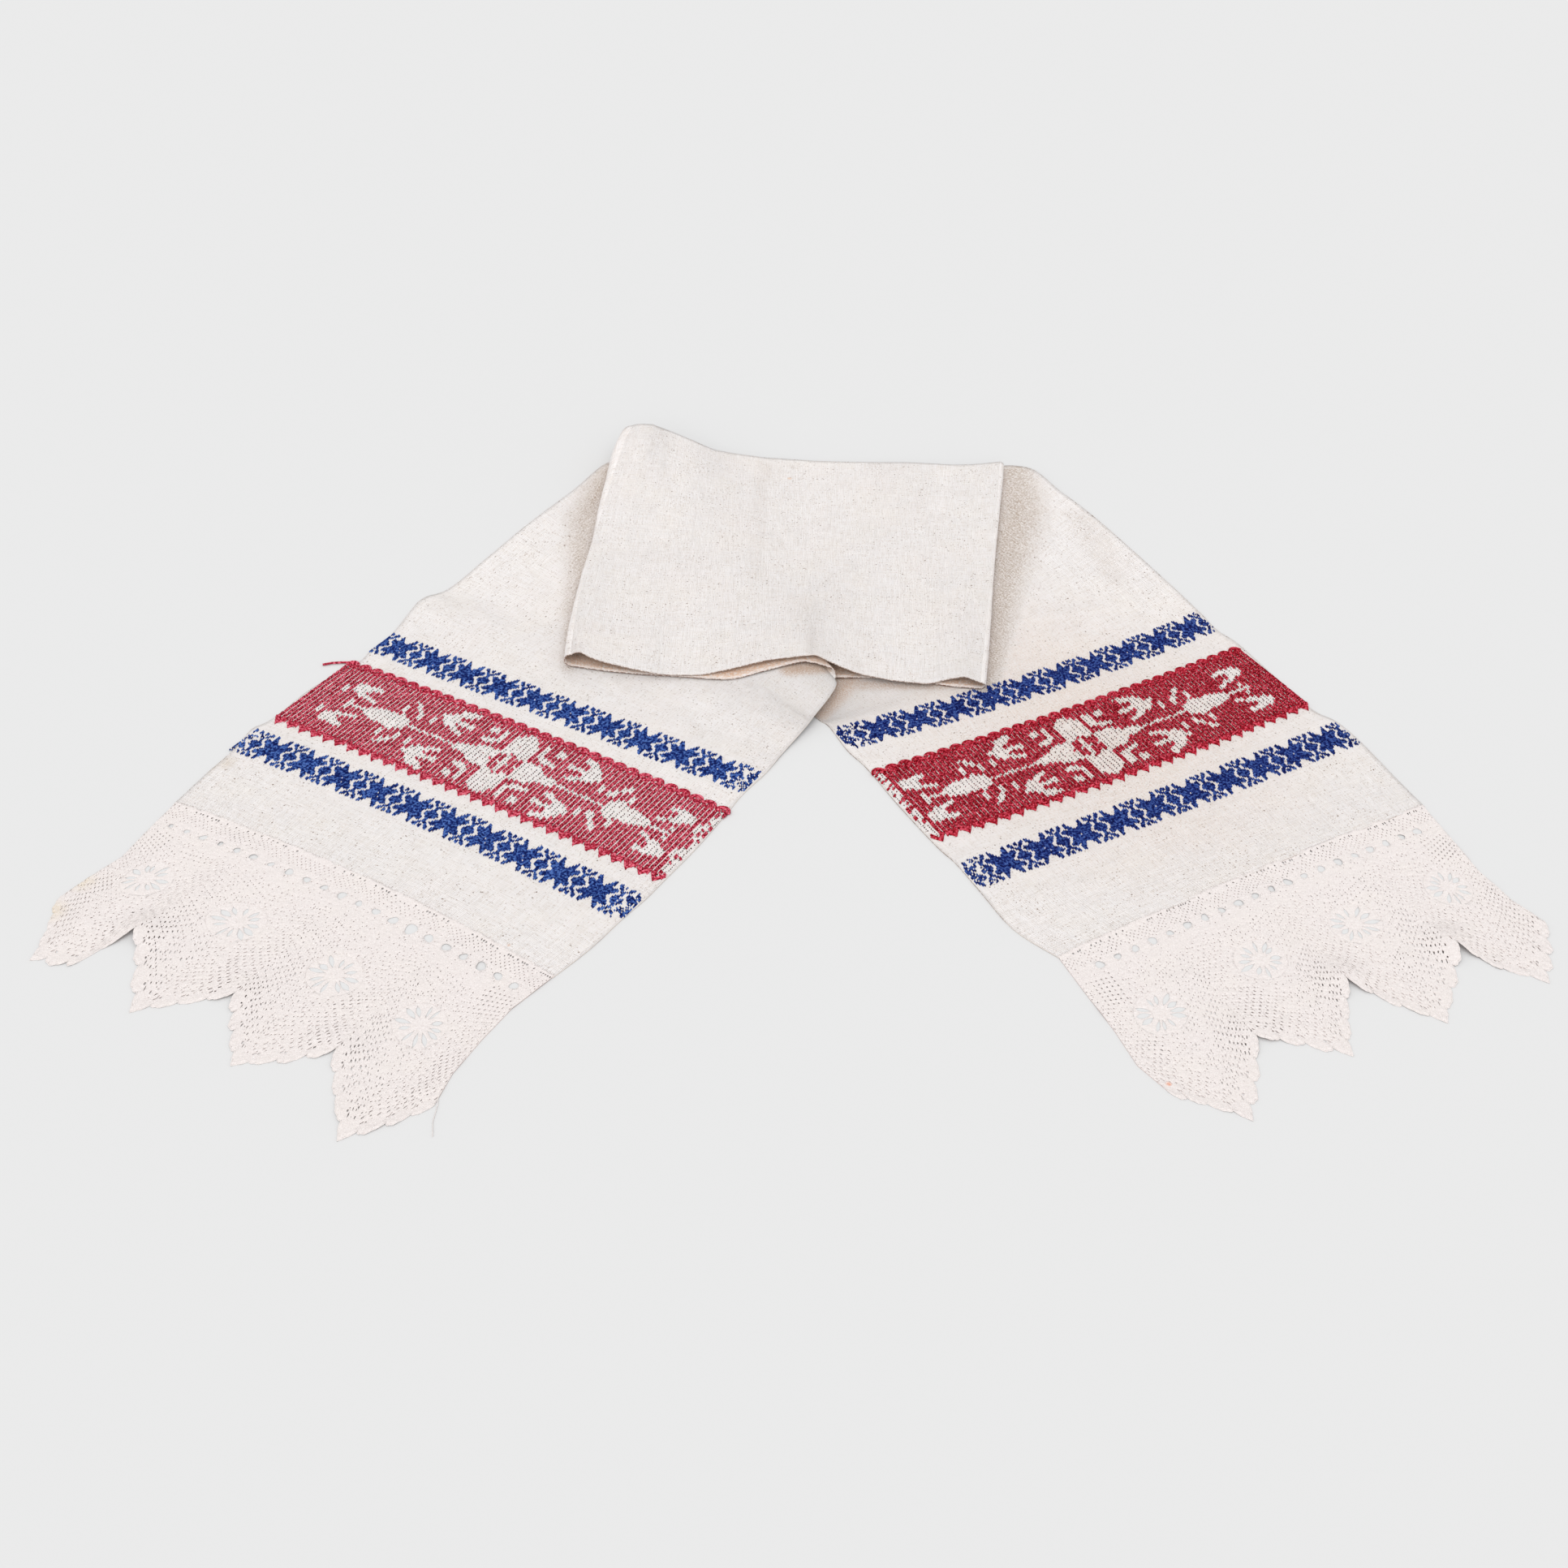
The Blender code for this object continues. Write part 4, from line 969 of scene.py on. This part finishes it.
# Depths at which the fine rows and the plain rows end, and the open patches beside the sides:
# from and to in repeats, from and to in depth.
FINE_ROWS_END = 0.0185
PLAIN_ROWS_END = 0.042
FLANK_PLACES = (0.06, 0.34)
FLANK_DEPTHS = (0.034, 0.064)
YARN_SHADE = (206, 197, 194)
YARN_CREAM = (223, 217, 215)
YARN_PATCH = (218, 211, 206)
# Painted shade: pink on the underside and down the holes, dark brown down the holes along the seam.
HOLE_SHADE_PINK = (198, 166, 157)
SEAM_SHADE_BROWN = (124, 92, 84)
# Painted shade of the underside, as its shares of the seam holes' painted brown and of the holes' painted
# pink.
HOLE_SHADE = (0.0, 0.85)
SEAM_SHADE = (1.0, 0.0)

# Lace edge without its fans: place in repeats, u, v in the arm's frame, and its lift there.
LEFT_POINTS = (
    (0.0, 0.0150, 0.5250, 0.0), (0.25, 0.0330, 0.5530, 0.0), (0.5, 0.0500, 0.5825, 0.0),
    (0.75, 0.0800, 0.5740, 0.0), (1.0, 0.0950, 0.5225, 0.0044), (1.25, 0.1200, 0.5445, 0.0),
    (1.5, 0.1556, 0.5825, 0.0), (1.75, 0.1820, 0.5600, 0.0), (2.0, 0.2090, 0.5335, 0.0020),
    (2.25, 0.2310, 0.5580, 0.0), (2.5, 0.2572, 0.5865, 0.0), (2.75, 0.2850, 0.5650, 0.0),
    (3.0, 0.3110, 0.5370, 0.0010), (3.25, 0.3370, 0.5680, 0.0), (3.5, 0.3700, 0.5985, 0.0),
    (3.75, 0.3910, 0.5700, 0.0), (4.0, 0.4060, 0.5430, 0.0),
)
RIGHT_POINTS = (
    (0.0, 0.0048, 0.5680, 0.0), (0.25, 0.0190, 0.5870, 0.0), (0.5, 0.0400, 0.6125, 0.0),
    (0.75, 0.0680, 0.5850, 0.0), (1.0, 0.0935, 0.5550, 0.0020), (1.25, 0.1180, 0.5735, 0.0),
    (1.5, 0.1431, 0.5975, 0.0), (1.75, 0.1670, 0.5690, 0.0), (2.0, 0.1903, 0.5395, 0.0038),
    (2.25, 0.2070, 0.5760, 0.0), (2.5, 0.2265, 0.6080, 0.0), (2.75, 0.2590, 0.5800, 0.0),
    (3.0, 0.2896, 0.5500, 0.0052), (3.25, 0.3010, 0.5840, 0.0), (3.5, 0.3230, 0.6105, 0.0),
    (3.75, 0.3480, 0.5880, 0.0), (4.0, 0.3690, 0.5640, 0.0),
)
# How far the first and last side of each lace stand in (+u) at its rows.
LEFT_SIDES = ((0.0, 0.0044, 0.0089, 0.0030, 0.0), (0.0, -0.0080, -0.0085, -0.0068, 0.0))
RIGHT_SIDES = ((0.0, -0.0018, -0.0026, -0.0062, 0.0), (0.0, -0.0052, -0.0092, -0.0074, 0.0))
# Flower centres of each lace: place in repeats and depth below the seam.
LEFT_FLOWERS = ((0.50, 0.0870), (1.50, 0.0915), (2.53, 0.0965), (3.40, 0.0990))
RIGHT_FLOWERS = ((0.46, 0.0885), (1.50, 0.0825), (2.50, 0.0870), (3.53, 0.0890))
# The eyelets' values are their count, first and last place, depth below the seam and the torn one.
Lace = namedtuple("Lace", "side sections edge sides flowers eyelets")
LACES = (
    Lace("left", LEFT_ARM, LEFT_POINTS, LEFT_SIDES, LEFT_FLOWERS, (21, 0.168, 3.807, 0.0262, 14)),
    Lace("right", RIGHT_ARM, RIGHT_POINTS, RIGHT_SIDES, RIGHT_FLOWERS, (20, 0.281, 3.740, 0.0240, -1)),
)
STRAY_THREAD = ((0.3900, 0.4960), (0.3930, 0.5045), (0.3950, 0.5170), (0.3986, 0.5288), (0.4080, 0.5420),
                (0.4150, 0.5560), (0.4238, 0.5669))
LACE_MARKS = (
    (0.2644, -0.4269, 0.0028, (222, 120, 50), 0.85),
    (-0.5820, -0.2440, 0.0160, (206, 186, 140), 0.40),
    (-0.5660, -0.2100, 0.0140, (210, 192, 150), 0.35),
)


def point_at(points, place):
    """u and v on the lace's outer edge, without its scallops."""
    for first, second in zip(points, points[1:]):
        if place <= second[0]:
            t = (place - first[0]) / (second[0] - first[0])
            return tuple(a + (b - a) * t for a, b in zip(first[1:3], second[1:3]))
    return points[-1][1:3]


def scallop(place):
    """How far the fans stand out from the edge line at a place along it."""
    number = math.floor(place * SCALLOPS_PER_POINT)
    uneven = 0.85 + 0.35 * math.sin(5.1 * number)
    picots = PICOT_HEIGHT * abs(math.sin(math.pi * place * SCALLOPS_PER_POINT * 3)) * (0.6 + 0.6 * uneven)
    return SCALLOP_HEIGHT * uneven * abs(math.sin(math.pi * place * SCALLOPS_PER_POINT)) + picots


def seam_at(sections, place):
    """u and v on the seam, the same bow as the cloth's last section."""
    row = sections[-1]
    start, end = sorted((row[1:3], row[7:9]))
    return tuple(bow(*values, place / LACE_REPEATS) for values in zip(start, row[4:6], end))


def side_bow(sides, place, share):
    """How far a point is drawn in by the waist of the nearer side."""
    bow = 0.0
    for bows, near in ((sides[0], max(0.0, 1 - place) ** 2),
                       (sides[1], max(0.0, place - LACE_REPEATS + 1) ** 2)):
        for row in range(len(LACE_ROWS) - 1):
            if LACE_ROWS[row] <= share <= LACE_ROWS[row + 1]:
                t = (share - LACE_ROWS[row]) / (LACE_ROWS[row + 1] - LACE_ROWS[row])
                bow += near * (bows[row] + (bows[row + 1] - bows[row]) * t)
                break
    return bow


def lace_length(lace, place):
    """From the seam to the edge line at a place, in metres."""
    seam_u, seam_v = seam_at(lace.sections, place)
    edge_u, edge_v = point_at(lace.edge, place)
    return math.hypot(edge_u - seam_u, edge_v - seam_v + SEAM_OVERLAP)


def lace_point(lace, place, share, lift=0.0):
    """A point of the lying lace: place in repeats, share of the way from seam to edge."""
    seam_u, seam_v = seam_at(lace.sections, place)
    seam_v -= SEAM_OVERLAP
    edge_u, edge_v = point_at(lace.edge, place)
    u = seam_u + (edge_u - seam_u) * share + side_bow(lace.sides, place, share)
    v = seam_v + (edge_v - seam_v) * share
    v += scallop(place) * ease(max(0.0, (share - 0.9) / 0.1))
    raise_up = 0.0
    for row in lace.edge:
        point_u, point_v, point_lift = row[1:]
        if point_lift > 0:
            away = math.hypot(u - point_u, v - point_v) / LIFT_REACH
            raise_up = max(raise_up, point_lift * ease(max(0.0, 1 - away)))
    point = on_arm(lace.side, u, v, 0)
    depth = share * math.hypot(edge_u - seam_u, edge_v - seam_v)
    near = min(1.0, max(0.0, flower_offset(lace, place, depth)[0] - FLOWER_RADIUS) / FLAT_ROUND_FLOWER)
    swell = max(0.0, slow_swell(point.x, point.y, LACE_SWELLS)) * ease(near)
    raise_up += SEAM_RISE * ease(max(0.0, 1 - max(0.0, depth) / SEAM_SLOPE))
    point.z = LACE_THICKNESS / 2 + raise_up + swell + lift
    return point


def flower_offset(lace, place, depth):
    """The nearest flower and the way from its centre, in metres."""
    found = []
    for flower_place, flower_depth in lace.flowers:
        across = (place - flower_place) / PLACE_PER_METRE
        down = depth - flower_depth
        found.append((math.hypot(across, down), flower_place, flower_depth, across, down))
    return min(found)


def eyelet_grow(lace, index):
    """How large an eyelet is against the common size."""
    if index == lace.eyelets[4]:
        return 1.25
    common = 0.66 + 0.016 * index if lace.side == "left" else 0.84
    return common + 0.11 * math.sin(2.3 * index + 4.1 * len(lace.side))


def eyelet_place(lace, index):
    """Where an eyelet lies along the lace, in repeats."""
    count, first, last = lace.eyelets[:3]
    return first + (last - first) * index / (count - 1)


def eyelet_offset(lace, place, depth):
    """The way from the nearest eyelet's centre, as shares of its half sizes, and its number."""
    count, first, last, eyelet_depth = lace.eyelets[:4]
    index = round((place - first) / (last - first) * (count - 1))
    index = min(max(index, 0), count - 1)
    grow = eyelet_grow(lace, index)
    across = (place - eyelet_place(lace, index)) / PLACE_PER_METRE / (grow * EYELET_WIDTH / 2)
    down = (depth - eyelet_depth) / (grow * EYELET_HEIGHT / 2)
    return math.hypot(across, down), across * grow, down * grow, index


def eyelet_wobble(index, angle):
    """How far an eyelet's edge stands off its even oval in a direction."""
    return 1 + 0.10 * math.sin(2 * angle + 1.7 * index) + 0.07 * math.sin(3 * angle + 2.9 * index)


def hole_size(lace, column, course, chance):
    """How open a cell of the crochet is, from 0 to 1 of its width."""

    def some(share_open, low, high):
        """A hole between two sizes in a share of the cells, and none in the rest."""
        return chance.uniform(low, high) if chance.random() < share_open else 0.0

    place = (column + 0.5) * LACE_REPEATS / LACE_COLUMNS
    share = (course + 0.5) / LACE_COURSES
    depth = share * lace_length(lace, place)
    reach = flower_offset(lace, place, depth)[0]
    from_point = abs(place % 1.0 - 0.5)
    brick = (column + course) % 2 == 0
    if course >= LACE_COURSES - FAN_COURSES or course == 0:
        return 0.0
    if course == LACE_COURSES - FAN_COURSES - 1:
        return 0.85 if column % FAN_COLUMNS in (0, 5) else 0.0
    if course == 1:
        return some(0.42, 0.75, 1.0)
    near_side = min(place, LACE_REPEATS - place)
    if reach < FLOWER_RADIUS + 0.0006:
        return 0.0
    if depth < FINE_ROWS_END:
        return some(0.85, 0.40, 0.62) if brick else 0.0
    if FLANK_PLACES[0] < near_side < FLANK_PLACES[1] and FLANK_DEPTHS[0] < depth < FLANK_DEPTHS[1]:
        return chance.uniform(0.75, 0.95) if column % 2 == 0 and course % 2 == 0 else 0.0
    if depth < PLAIN_ROWS_END:
        return some(0.22, 0.3, 0.55) if brick else 0.0
    if course % 2 == 0 and (column + course // 2) % 2 == 0:
        if share > 0.62 and 0.22 < from_point < 0.44:
            return some(0.9, 0.78, 0.98)
        if share > 0.74:
            return some(0.8, 0.50, 0.80)
        if from_point > 0.38:
            return some(0.8, 0.50, 0.76)
        return some(0.65, 0.42, 0.72)
    return some(0.25 + 0.35 * share, 0.28, 0.46) if brick else 0.0


def add_low(verts, shades, point, shade):
    """A point on the underside, with the painted shade that its yarn takes there."""
    shades[len(verts)] = shade
    verts.append(point)


def tall(off, down, open_share):
    """A hole's corner from its middle: drawn long in the direction of the depth."""
    along = off.dot(down)
    return (off - down * along) * 0.84 * open_share + down * along * min(0.92, 1.25 * open_share)


def add_both(faces, a, b, c, d):
    """A face of four upper points and the one on their lower points."""
    faces.extend(((a, b, c, d), (a + 1, d + 1, c + 1, b + 1)))


def lace_fabric(lace, verts, faces, shades):
    """The worked ground: a sheet of cells, each closed and rounded or with its small hole."""
    chance = random.Random("lace " + lace.side)
    spots = {}
    rims = {}
    dropped = set()
    for column in range(LACE_COLUMNS):
        for course in range(LACE_COURSES):
            place = (column + 0.5) * LACE_REPEATS / LACE_COLUMNS
            depth = (course + 0.5) / LACE_COURSES * lace_length(lace, place)
            in_flower = flower_offset(lace, place, depth)[0] < FLOWER_RADIUS
            if in_flower or eyelet_offset(lace, place, depth)[0] < 1:
                dropped.add((column, course))
    for column, course in product(range(LACE_COLUMNS + 1), range(LACE_COURSES + 1)):
        place = column * LACE_REPEATS / LACE_COLUMNS
        length = lace_length(lace, place)
        depth = course / LACE_COURSES * length
        gone = sum((column + i, course + j) in dropped for i in (-1, 0) for j in (-1, 0))
        if 0 < gone < 4:
            reach, flower_place, flower_depth, across, down = flower_offset(lace, place, depth)
            if reach < FLOWER_RADIUS + 0.004:
                grow = FLOWER_RADIUS / reach
                place = flower_place + across * grow * PLACE_PER_METRE
                depth = flower_depth + down * grow
            else:
                off, across, down, index = eyelet_offset(lace, place, depth)
                if off < 1.6:
                    off /= eyelet_wobble(index, math.atan2(down, across))
                    place = eyelet_place(lace, index) + across / off * EYELET_WIDTH / 2 * PLACE_PER_METRE
                    depth = lace.eyelets[3] + down / off * EYELET_HEIGHT / 2
        elif gone == 0 and 0 < column < LACE_COLUMNS and 0 < course < LACE_COURSES:
            place += chance.uniform(-0.0005, 0.0005) * PLACE_PER_METRE
            depth += chance.uniform(-0.0005, 0.0005)
        if course == 0:
            depth -= chance.uniform(0, 0.0010)
        rims[column, course] = 0 < gone < 4
        spots[column, course] = (place, depth / length)

    tops = {}
    twist = 0.30

    def corner(key):
        """Index of a corner's upper point; its lower one follows."""
        if key not in tops:
            place, share = spots[key]
            bumpy = chance.uniform(0, 0.0003) + 0.0002 * (key[1] % 2)
            if key[1] > LACE_COURSES - FAN_COURSES:
                bumpy += 0.0005 * (key[0] % 2) - 0.0004 * (key[0] % FAN_COLUMNS == 0)
            tops[key] = len(verts)
            verts.append(lace_point(lace, place, share, UPPER_SIDE - 0.0002 + bumpy))
            under = lace_point(lace, place, share, UNDERSIDE)
            # Underside points are painted in shade, except at the rims of the eyelets and flowers.
            if rims[key]:
                verts.append(under)
            else:
                add_low(verts, shades, under, HOLE_SHADE)
        return tops[key]

    def wall(a, b):
        """A face from an upper edge down to its lower one."""
        faces.append((a, a + 1, b + 1, b))

    for column in range(LACE_COLUMNS):
        for course in range(LACE_COURSES):
            if (column, course) in dropped:
                continue
            ring = [corner((column + across, course + down)) for across, down in CELL_CORNERS]
            open_share = hole_size(lace, column, course, chance)
            middle = sum((verts[i] for i in ring), Vector()) / 4
            low_middle = sum((verts[i + 1] for i in ring), Vector()) / 4
            if open_share > 0:
                inner = []
                down = (verts[ring[1]] + verts[ring[2]] - verts[ring[0]] - verts[ring[3]]).normalized()
                for step in range(4):
                    a, b = ring[step], ring[(step + 1) % 4]
                    edge = verts[a].lerp(verts[b], twist)
                    low_edge = verts[a + 1].lerp(verts[b + 1], twist)
                    inner.append(len(verts))
                    verts.append(middle + tall(edge - middle, down, open_share) - Vector((0, 0, 0.00015)))
                    # The hole's lower ring is painted in shade, dark brown in the row along the seam.
                    add_low(verts, shades, low_middle + tall(low_edge - low_middle, down, open_share),
                            SEAM_SHADE if course == 1 else HOLE_SHADE)
                for step in range(4):
                    a, b = ring[step], ring[(step + 1) % 4]
                    c, d = inner[step], inner[(step + 1) % 4]
                    add_both(faces, a, b, d, c)
                    wall(c, d)
            else:
                top = len(verts)
                verts.append(middle + Vector((0, 0, 0.00035 * chance.uniform(0.4, 1.3))))
                for step in range(4):
                    faces.append((ring[step], ring[(step + 1) % 4], top))
                faces.append(tuple(i + 1 for i in reversed(ring)))
            for across, down, one, two in CELL_SIDES:
                beyond = (column + across, course + down)
                outside = not (0 <= beyond[0] < LACE_COLUMNS and 0 <= beyond[1] < LACE_COURSES)
                if outside or beyond in dropped:
                    wall(ring[one], ring[two])


def lace_flowers(lace, verts, faces):
    """A worked heart and twelve bars round it, which stand apart where the open petals lie."""
    chance = random.Random("flowers " + lace.side)

    def add_pair(flower, reach, angle, lift):
        """An upper point round a flower's centre, and the lower one under it."""
        place = flower[0] + reach * math.cos(angle) * PLACE_PER_METRE
        share = (flower[1] + reach * math.sin(angle)) / lace_length(lace, place)
        verts.append(lace_point(lace, place, share, lift))
        verts.append(lace_point(lace, place, share, UNDERSIDE))

    def petal_angle(reach, end, fullness):
        """Half the angle that an open petal takes at a distance from the centre."""
        t = (reach - PETAL_START) / (end - PETAL_START)
        if t <= 0 or t >= 1:
            return 0.0
        return PETAL_HALF_WIDTH * fullness * math.sin(math.pi * t ** 1.25) ** 0.75 / reach

    def add_heart(flower):
        """The closed middle of a flower, a low disc worked in rounds."""
        centre = len(verts)

        def on_round(number, step):
            """Index of an upper point on a round of the disc."""
            return centre + 2 + 2 * (number * HEART_STEPS + step % HEART_STEPS)

        add_pair(flower, 0.0, 0.0, UPPER_SIDE)
        for number in range(1, HEART_ROUNDS + 1):
            for step in range(HEART_STEPS):
                add_pair(flower, HEART_RADIUS * number / HEART_ROUNDS, 2 * math.pi * step / HEART_STEPS,
                         UPPER_SIDE - 0.0003 + chance.uniform(0, 0.0004))
        for step in range(HEART_STEPS):
            a, b = on_round(0, step), on_round(0, step + 1)
            faces.extend(((centre, b, a), (centre + 1, a + 1, b + 1)))
            for number in range(HEART_ROUNDS - 1):
                add_both(faces, on_round(number, step), on_round(number, step + 1),
                         on_round(number + 1, step + 1), on_round(number + 1, step))
            a, b = on_round(HEART_ROUNDS - 1, step), on_round(HEART_ROUNDS - 1, step + 1)
            faces.append((a, b, b + 1, a + 1))

    for flower in lace.flowers:
        petals = []
        for petal in range(PETALS):
            angle = 2 * math.pi * (petal + 0.5 + chance.uniform(-0.22, 0.22)) / PETALS
            fullness = (0.42 + 0.62 * abs(math.cos(angle))) * chance.uniform(0.75, 1.1)
            petals.append((angle, PETAL_END - chance.uniform(0, PETAL_SHORTER), fullness))
        for petal in range(PETALS):
            before, after = petals[petal - 1], petals[petal]
            first = len(verts)
            across = len(BAR_RELIEF)
            for row in range(BAR_ROWS + 1):
                reach = HEART_RADIUS - HEART_OVERLAP
                reach += (FLOWER_RADIUS + BAR_OVERLAP - HEART_RADIUS + HEART_OVERLAP) * row / BAR_ROWS
                plain = min(1.0, max(0.0, (FLOWER_RADIUS - reach) / 0.004))
                sink = 0.0001 - 0.0006 * max(0.0, (reach - FLOWER_RADIUS) / BAR_OVERLAP)
                rough = 0.0001 if reach < PETAL_END - 0.005 else 0.0003
                start = before[0] + petal_angle(reach, before[1], before[2])
                end = after[0] - petal_angle(reach, after[1], after[2])
                if petal == 0:
                    start -= 2 * math.pi
                for step, relief in enumerate(BAR_RELIEF):
                    angle = start + (end - start) * step / (across - 1)
                    lift = UPPER_SIDE - 0.00025 + relief * plain + sink + chance.uniform(0, rough)
                    add_pair(flower, reach, angle, lift)
            for row in range(BAR_ROWS):
                for step in range(across - 1):
                    a = first + 2 * (row * across + step)
                    add_both(faces, a, a + 2, a + 2 + 2 * across, a + 2 * across)
                left = first + 2 * row * across
                right = left + 2 * (across - 1)
                faces.append((left, left + 2 * across, left + 2 * across + 1, left + 1))
                faces.append((right, right + 1, right + 2 * across + 1, right + 2 * across))
            last = first + 2 * BAR_ROWS * across
            for step in range(across - 1):
                a, b = first + 2 * step, last + 2 * step
                faces.extend(((a, a + 1, a + 3, a + 2), (b, b + 2, b + 3, b + 1)))
        add_heart(flower)


def lace_cords(lace, verts, faces):
    """Corded rims of the eyelets, the seam's stitches, the rim along the fans and a stray thread."""
    chance = random.Random("cords " + lace.side)
    for index in range(lace.eyelets[0]):
        rim = []
        for step in range(RIM_STEPS + 1):
            angle = 2 * math.pi * step / RIM_STEPS
            grow = eyelet_grow(lace, index) * eyelet_wobble(index, angle)
            across = grow * EYELET_WIDTH / 2 * math.cos(angle)
            place = eyelet_place(lace, index) + across * PLACE_PER_METRE
            depth = lace.eyelets[3] + grow * EYELET_HEIGHT / 2 * math.sin(angle)
            rim.append(lace_point(lace, place, depth / lace_length(lace, place), 0.0001))
        add_tube(verts, faces, rim, RIM_CORD)
    for stitch in range(SEAM_STITCHES):
        place = LACE_REPEATS * (stitch + 0.5 + chance.uniform(-0.2, 0.2)) / SEAM_STITCHES
        lean = chance.uniform(-0.010, 0.010)
        path = []
        for reach, down, up in SEAM_STITCH:
            at = min(max(place + lean * (reach - 0.5), 0.0), LACE_REPEATS)
            path.append(lace_point(lace, at, down / lace_length(lace, place), up))
        add_tube(verts, faces, path, SEAM_CORD, 4)
    steps = LACE_REPEATS * SCALLOPS_PER_POINT * 10
    edge = [lace_point(lace, LACE_REPEATS * step / steps, 1.0, chance.uniform(-0.0001, 0.0003))
            for step in range(steps + 1)]
    add_tube(verts, faces, edge, FAN_CORD)
    if lace.side == "left":
        add_tube(verts, faces, [on_arm("left", u, v, 0.0006) for u, v in STRAY_THREAD], STRAY_CORD, 4)


def lace_finish():
    """Soft matt cotton yarn, pale cream, with painted shade on its underside and down its holes, dark brown
    at the seam's holes.
    """
    material, tree, shader = start_finish("crochet_cotton", 0.95)
    place = add_node(tree, "ShaderNodeTexCoord").outputs["Object"]
    strands = noise_value(tree, place, 900.0, 3.0, 0.65)
    patches = noise_value(tree, place, 30.0, 3.0, 0.6)
    colour = blend_colours(tree, spread(tree, strands, 0.3, 0.65, 0.0, 1.0),
                           srgb(*YARN_SHADE), srgb(*YARN_CREAM))
    colour = blend_colours(tree, spread(tree, patches, 0.4, 0.7, 0.0, 0.4), colour, srgb(*YARN_PATCH))
    in_seam, in_hole = shade_map_values(tree)[:2]
    # Painted shade from the shade map: pink where the yarn lies in its holes and underneath, dark brown in
    # the holes along the seam.
    colour = blend_colours(tree, in_hole, colour, srgb(*HOLE_SHADE_PINK))
    colour = blend_colours(tree, in_seam, colour, srgb(*SEAM_SHADE_BROWN))
    colour = marks_over(tree, colour, LACE_MARKS)
    tree.links.new(colour, shader.inputs["Base Color"])
    lumps = noise_value(tree, place, 340.0, 2.0, 0.5)
    height = math_node(tree, "ADD", strands, math_node(tree, "MULTIPLY", lumps, 1.4))
    add_bump(tree, shader, height, 0.8, 0.0006)
    return material


lace_cotton = lace_finish()
for lace in LACES:
    verts, faces = [], []
    shades = {}
    lace_fabric(lace, verts, faces, shades)
    lace_flowers(lace, verts, faces)
    lace_cords(lace, verts, faces)
    edging = new_piece("crochet_edging_" + lace.side, verts, faces, lace_cotton)
    edging.data.set_sharp_from_angle(angle=math.radians(75))
    shade_map = edging.data.uv_layers.new(name="shade_map")
    for loop in edging.data.loops:
        shade_map.data[loop.index].uv = shades.get(loop.vertex_index, (0.0, 0.0))
    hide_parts("lace_" + lace.side)
    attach(edging, "root")

# The stage is a plain pale floor with no edge in view, lit evenly from all round and a little
# more from above in front, and the camera stands where the photograph was taken from.
FLOOR_SIZE = 60.0
FLOOR_GREY = (205, 205, 205)
half = FLOOR_SIZE / 2
floor_paint = start_finish("pale_floor", 1.0, 0.0, 0.0)[0]
floor_paint.node_tree.nodes["Principled BSDF"].inputs["Base Color"].default_value = srgb(*FLOOR_GREY)
floor = new_piece("studio_floor", ((-half, -half, 0), (half, -half, 0), (half, half, 0), (-half, half, 0)),
                  [(0, 1, 2, 3)], floor_paint)

world = bpy.data.worlds.new("studio")
world.use_nodes = True
world.node_tree.nodes["Background"].inputs[0].default_value = (1, 1, 1, 1)
world.node_tree.nodes["Background"].inputs[1].default_value = 0.98
bpy.context.scene.world = world

lamp_data = bpy.data.lights.new("high_front_lamp", "SUN")
lamp_data.energy = 1.60
lamp_data.angle = math.radians(60)
lamp = bpy.data.objects.new("high_front_lamp", lamp_data)
lamp.rotation_euler = (math.radians(42), math.radians(-6), 0)
bpy.context.scene.collection.objects.link(lamp)

camera_data = bpy.data.cameras.new("camera")
camera_data.lens = 47.14
camera_data.sensor_width = 36
camera_data.clip_start = 0.05
camera = bpy.data.objects.new("camera", camera_data)
camera.location = (-0.0093, -1.4355, 1.0795)
camera.rotation_euler = (math.radians(51.386), 0, 0)
bpy.context.scene.collection.objects.link(camera)
bpy.context.scene.camera = camera
bpy.context.scene.view_settings.view_transform = "Standard"
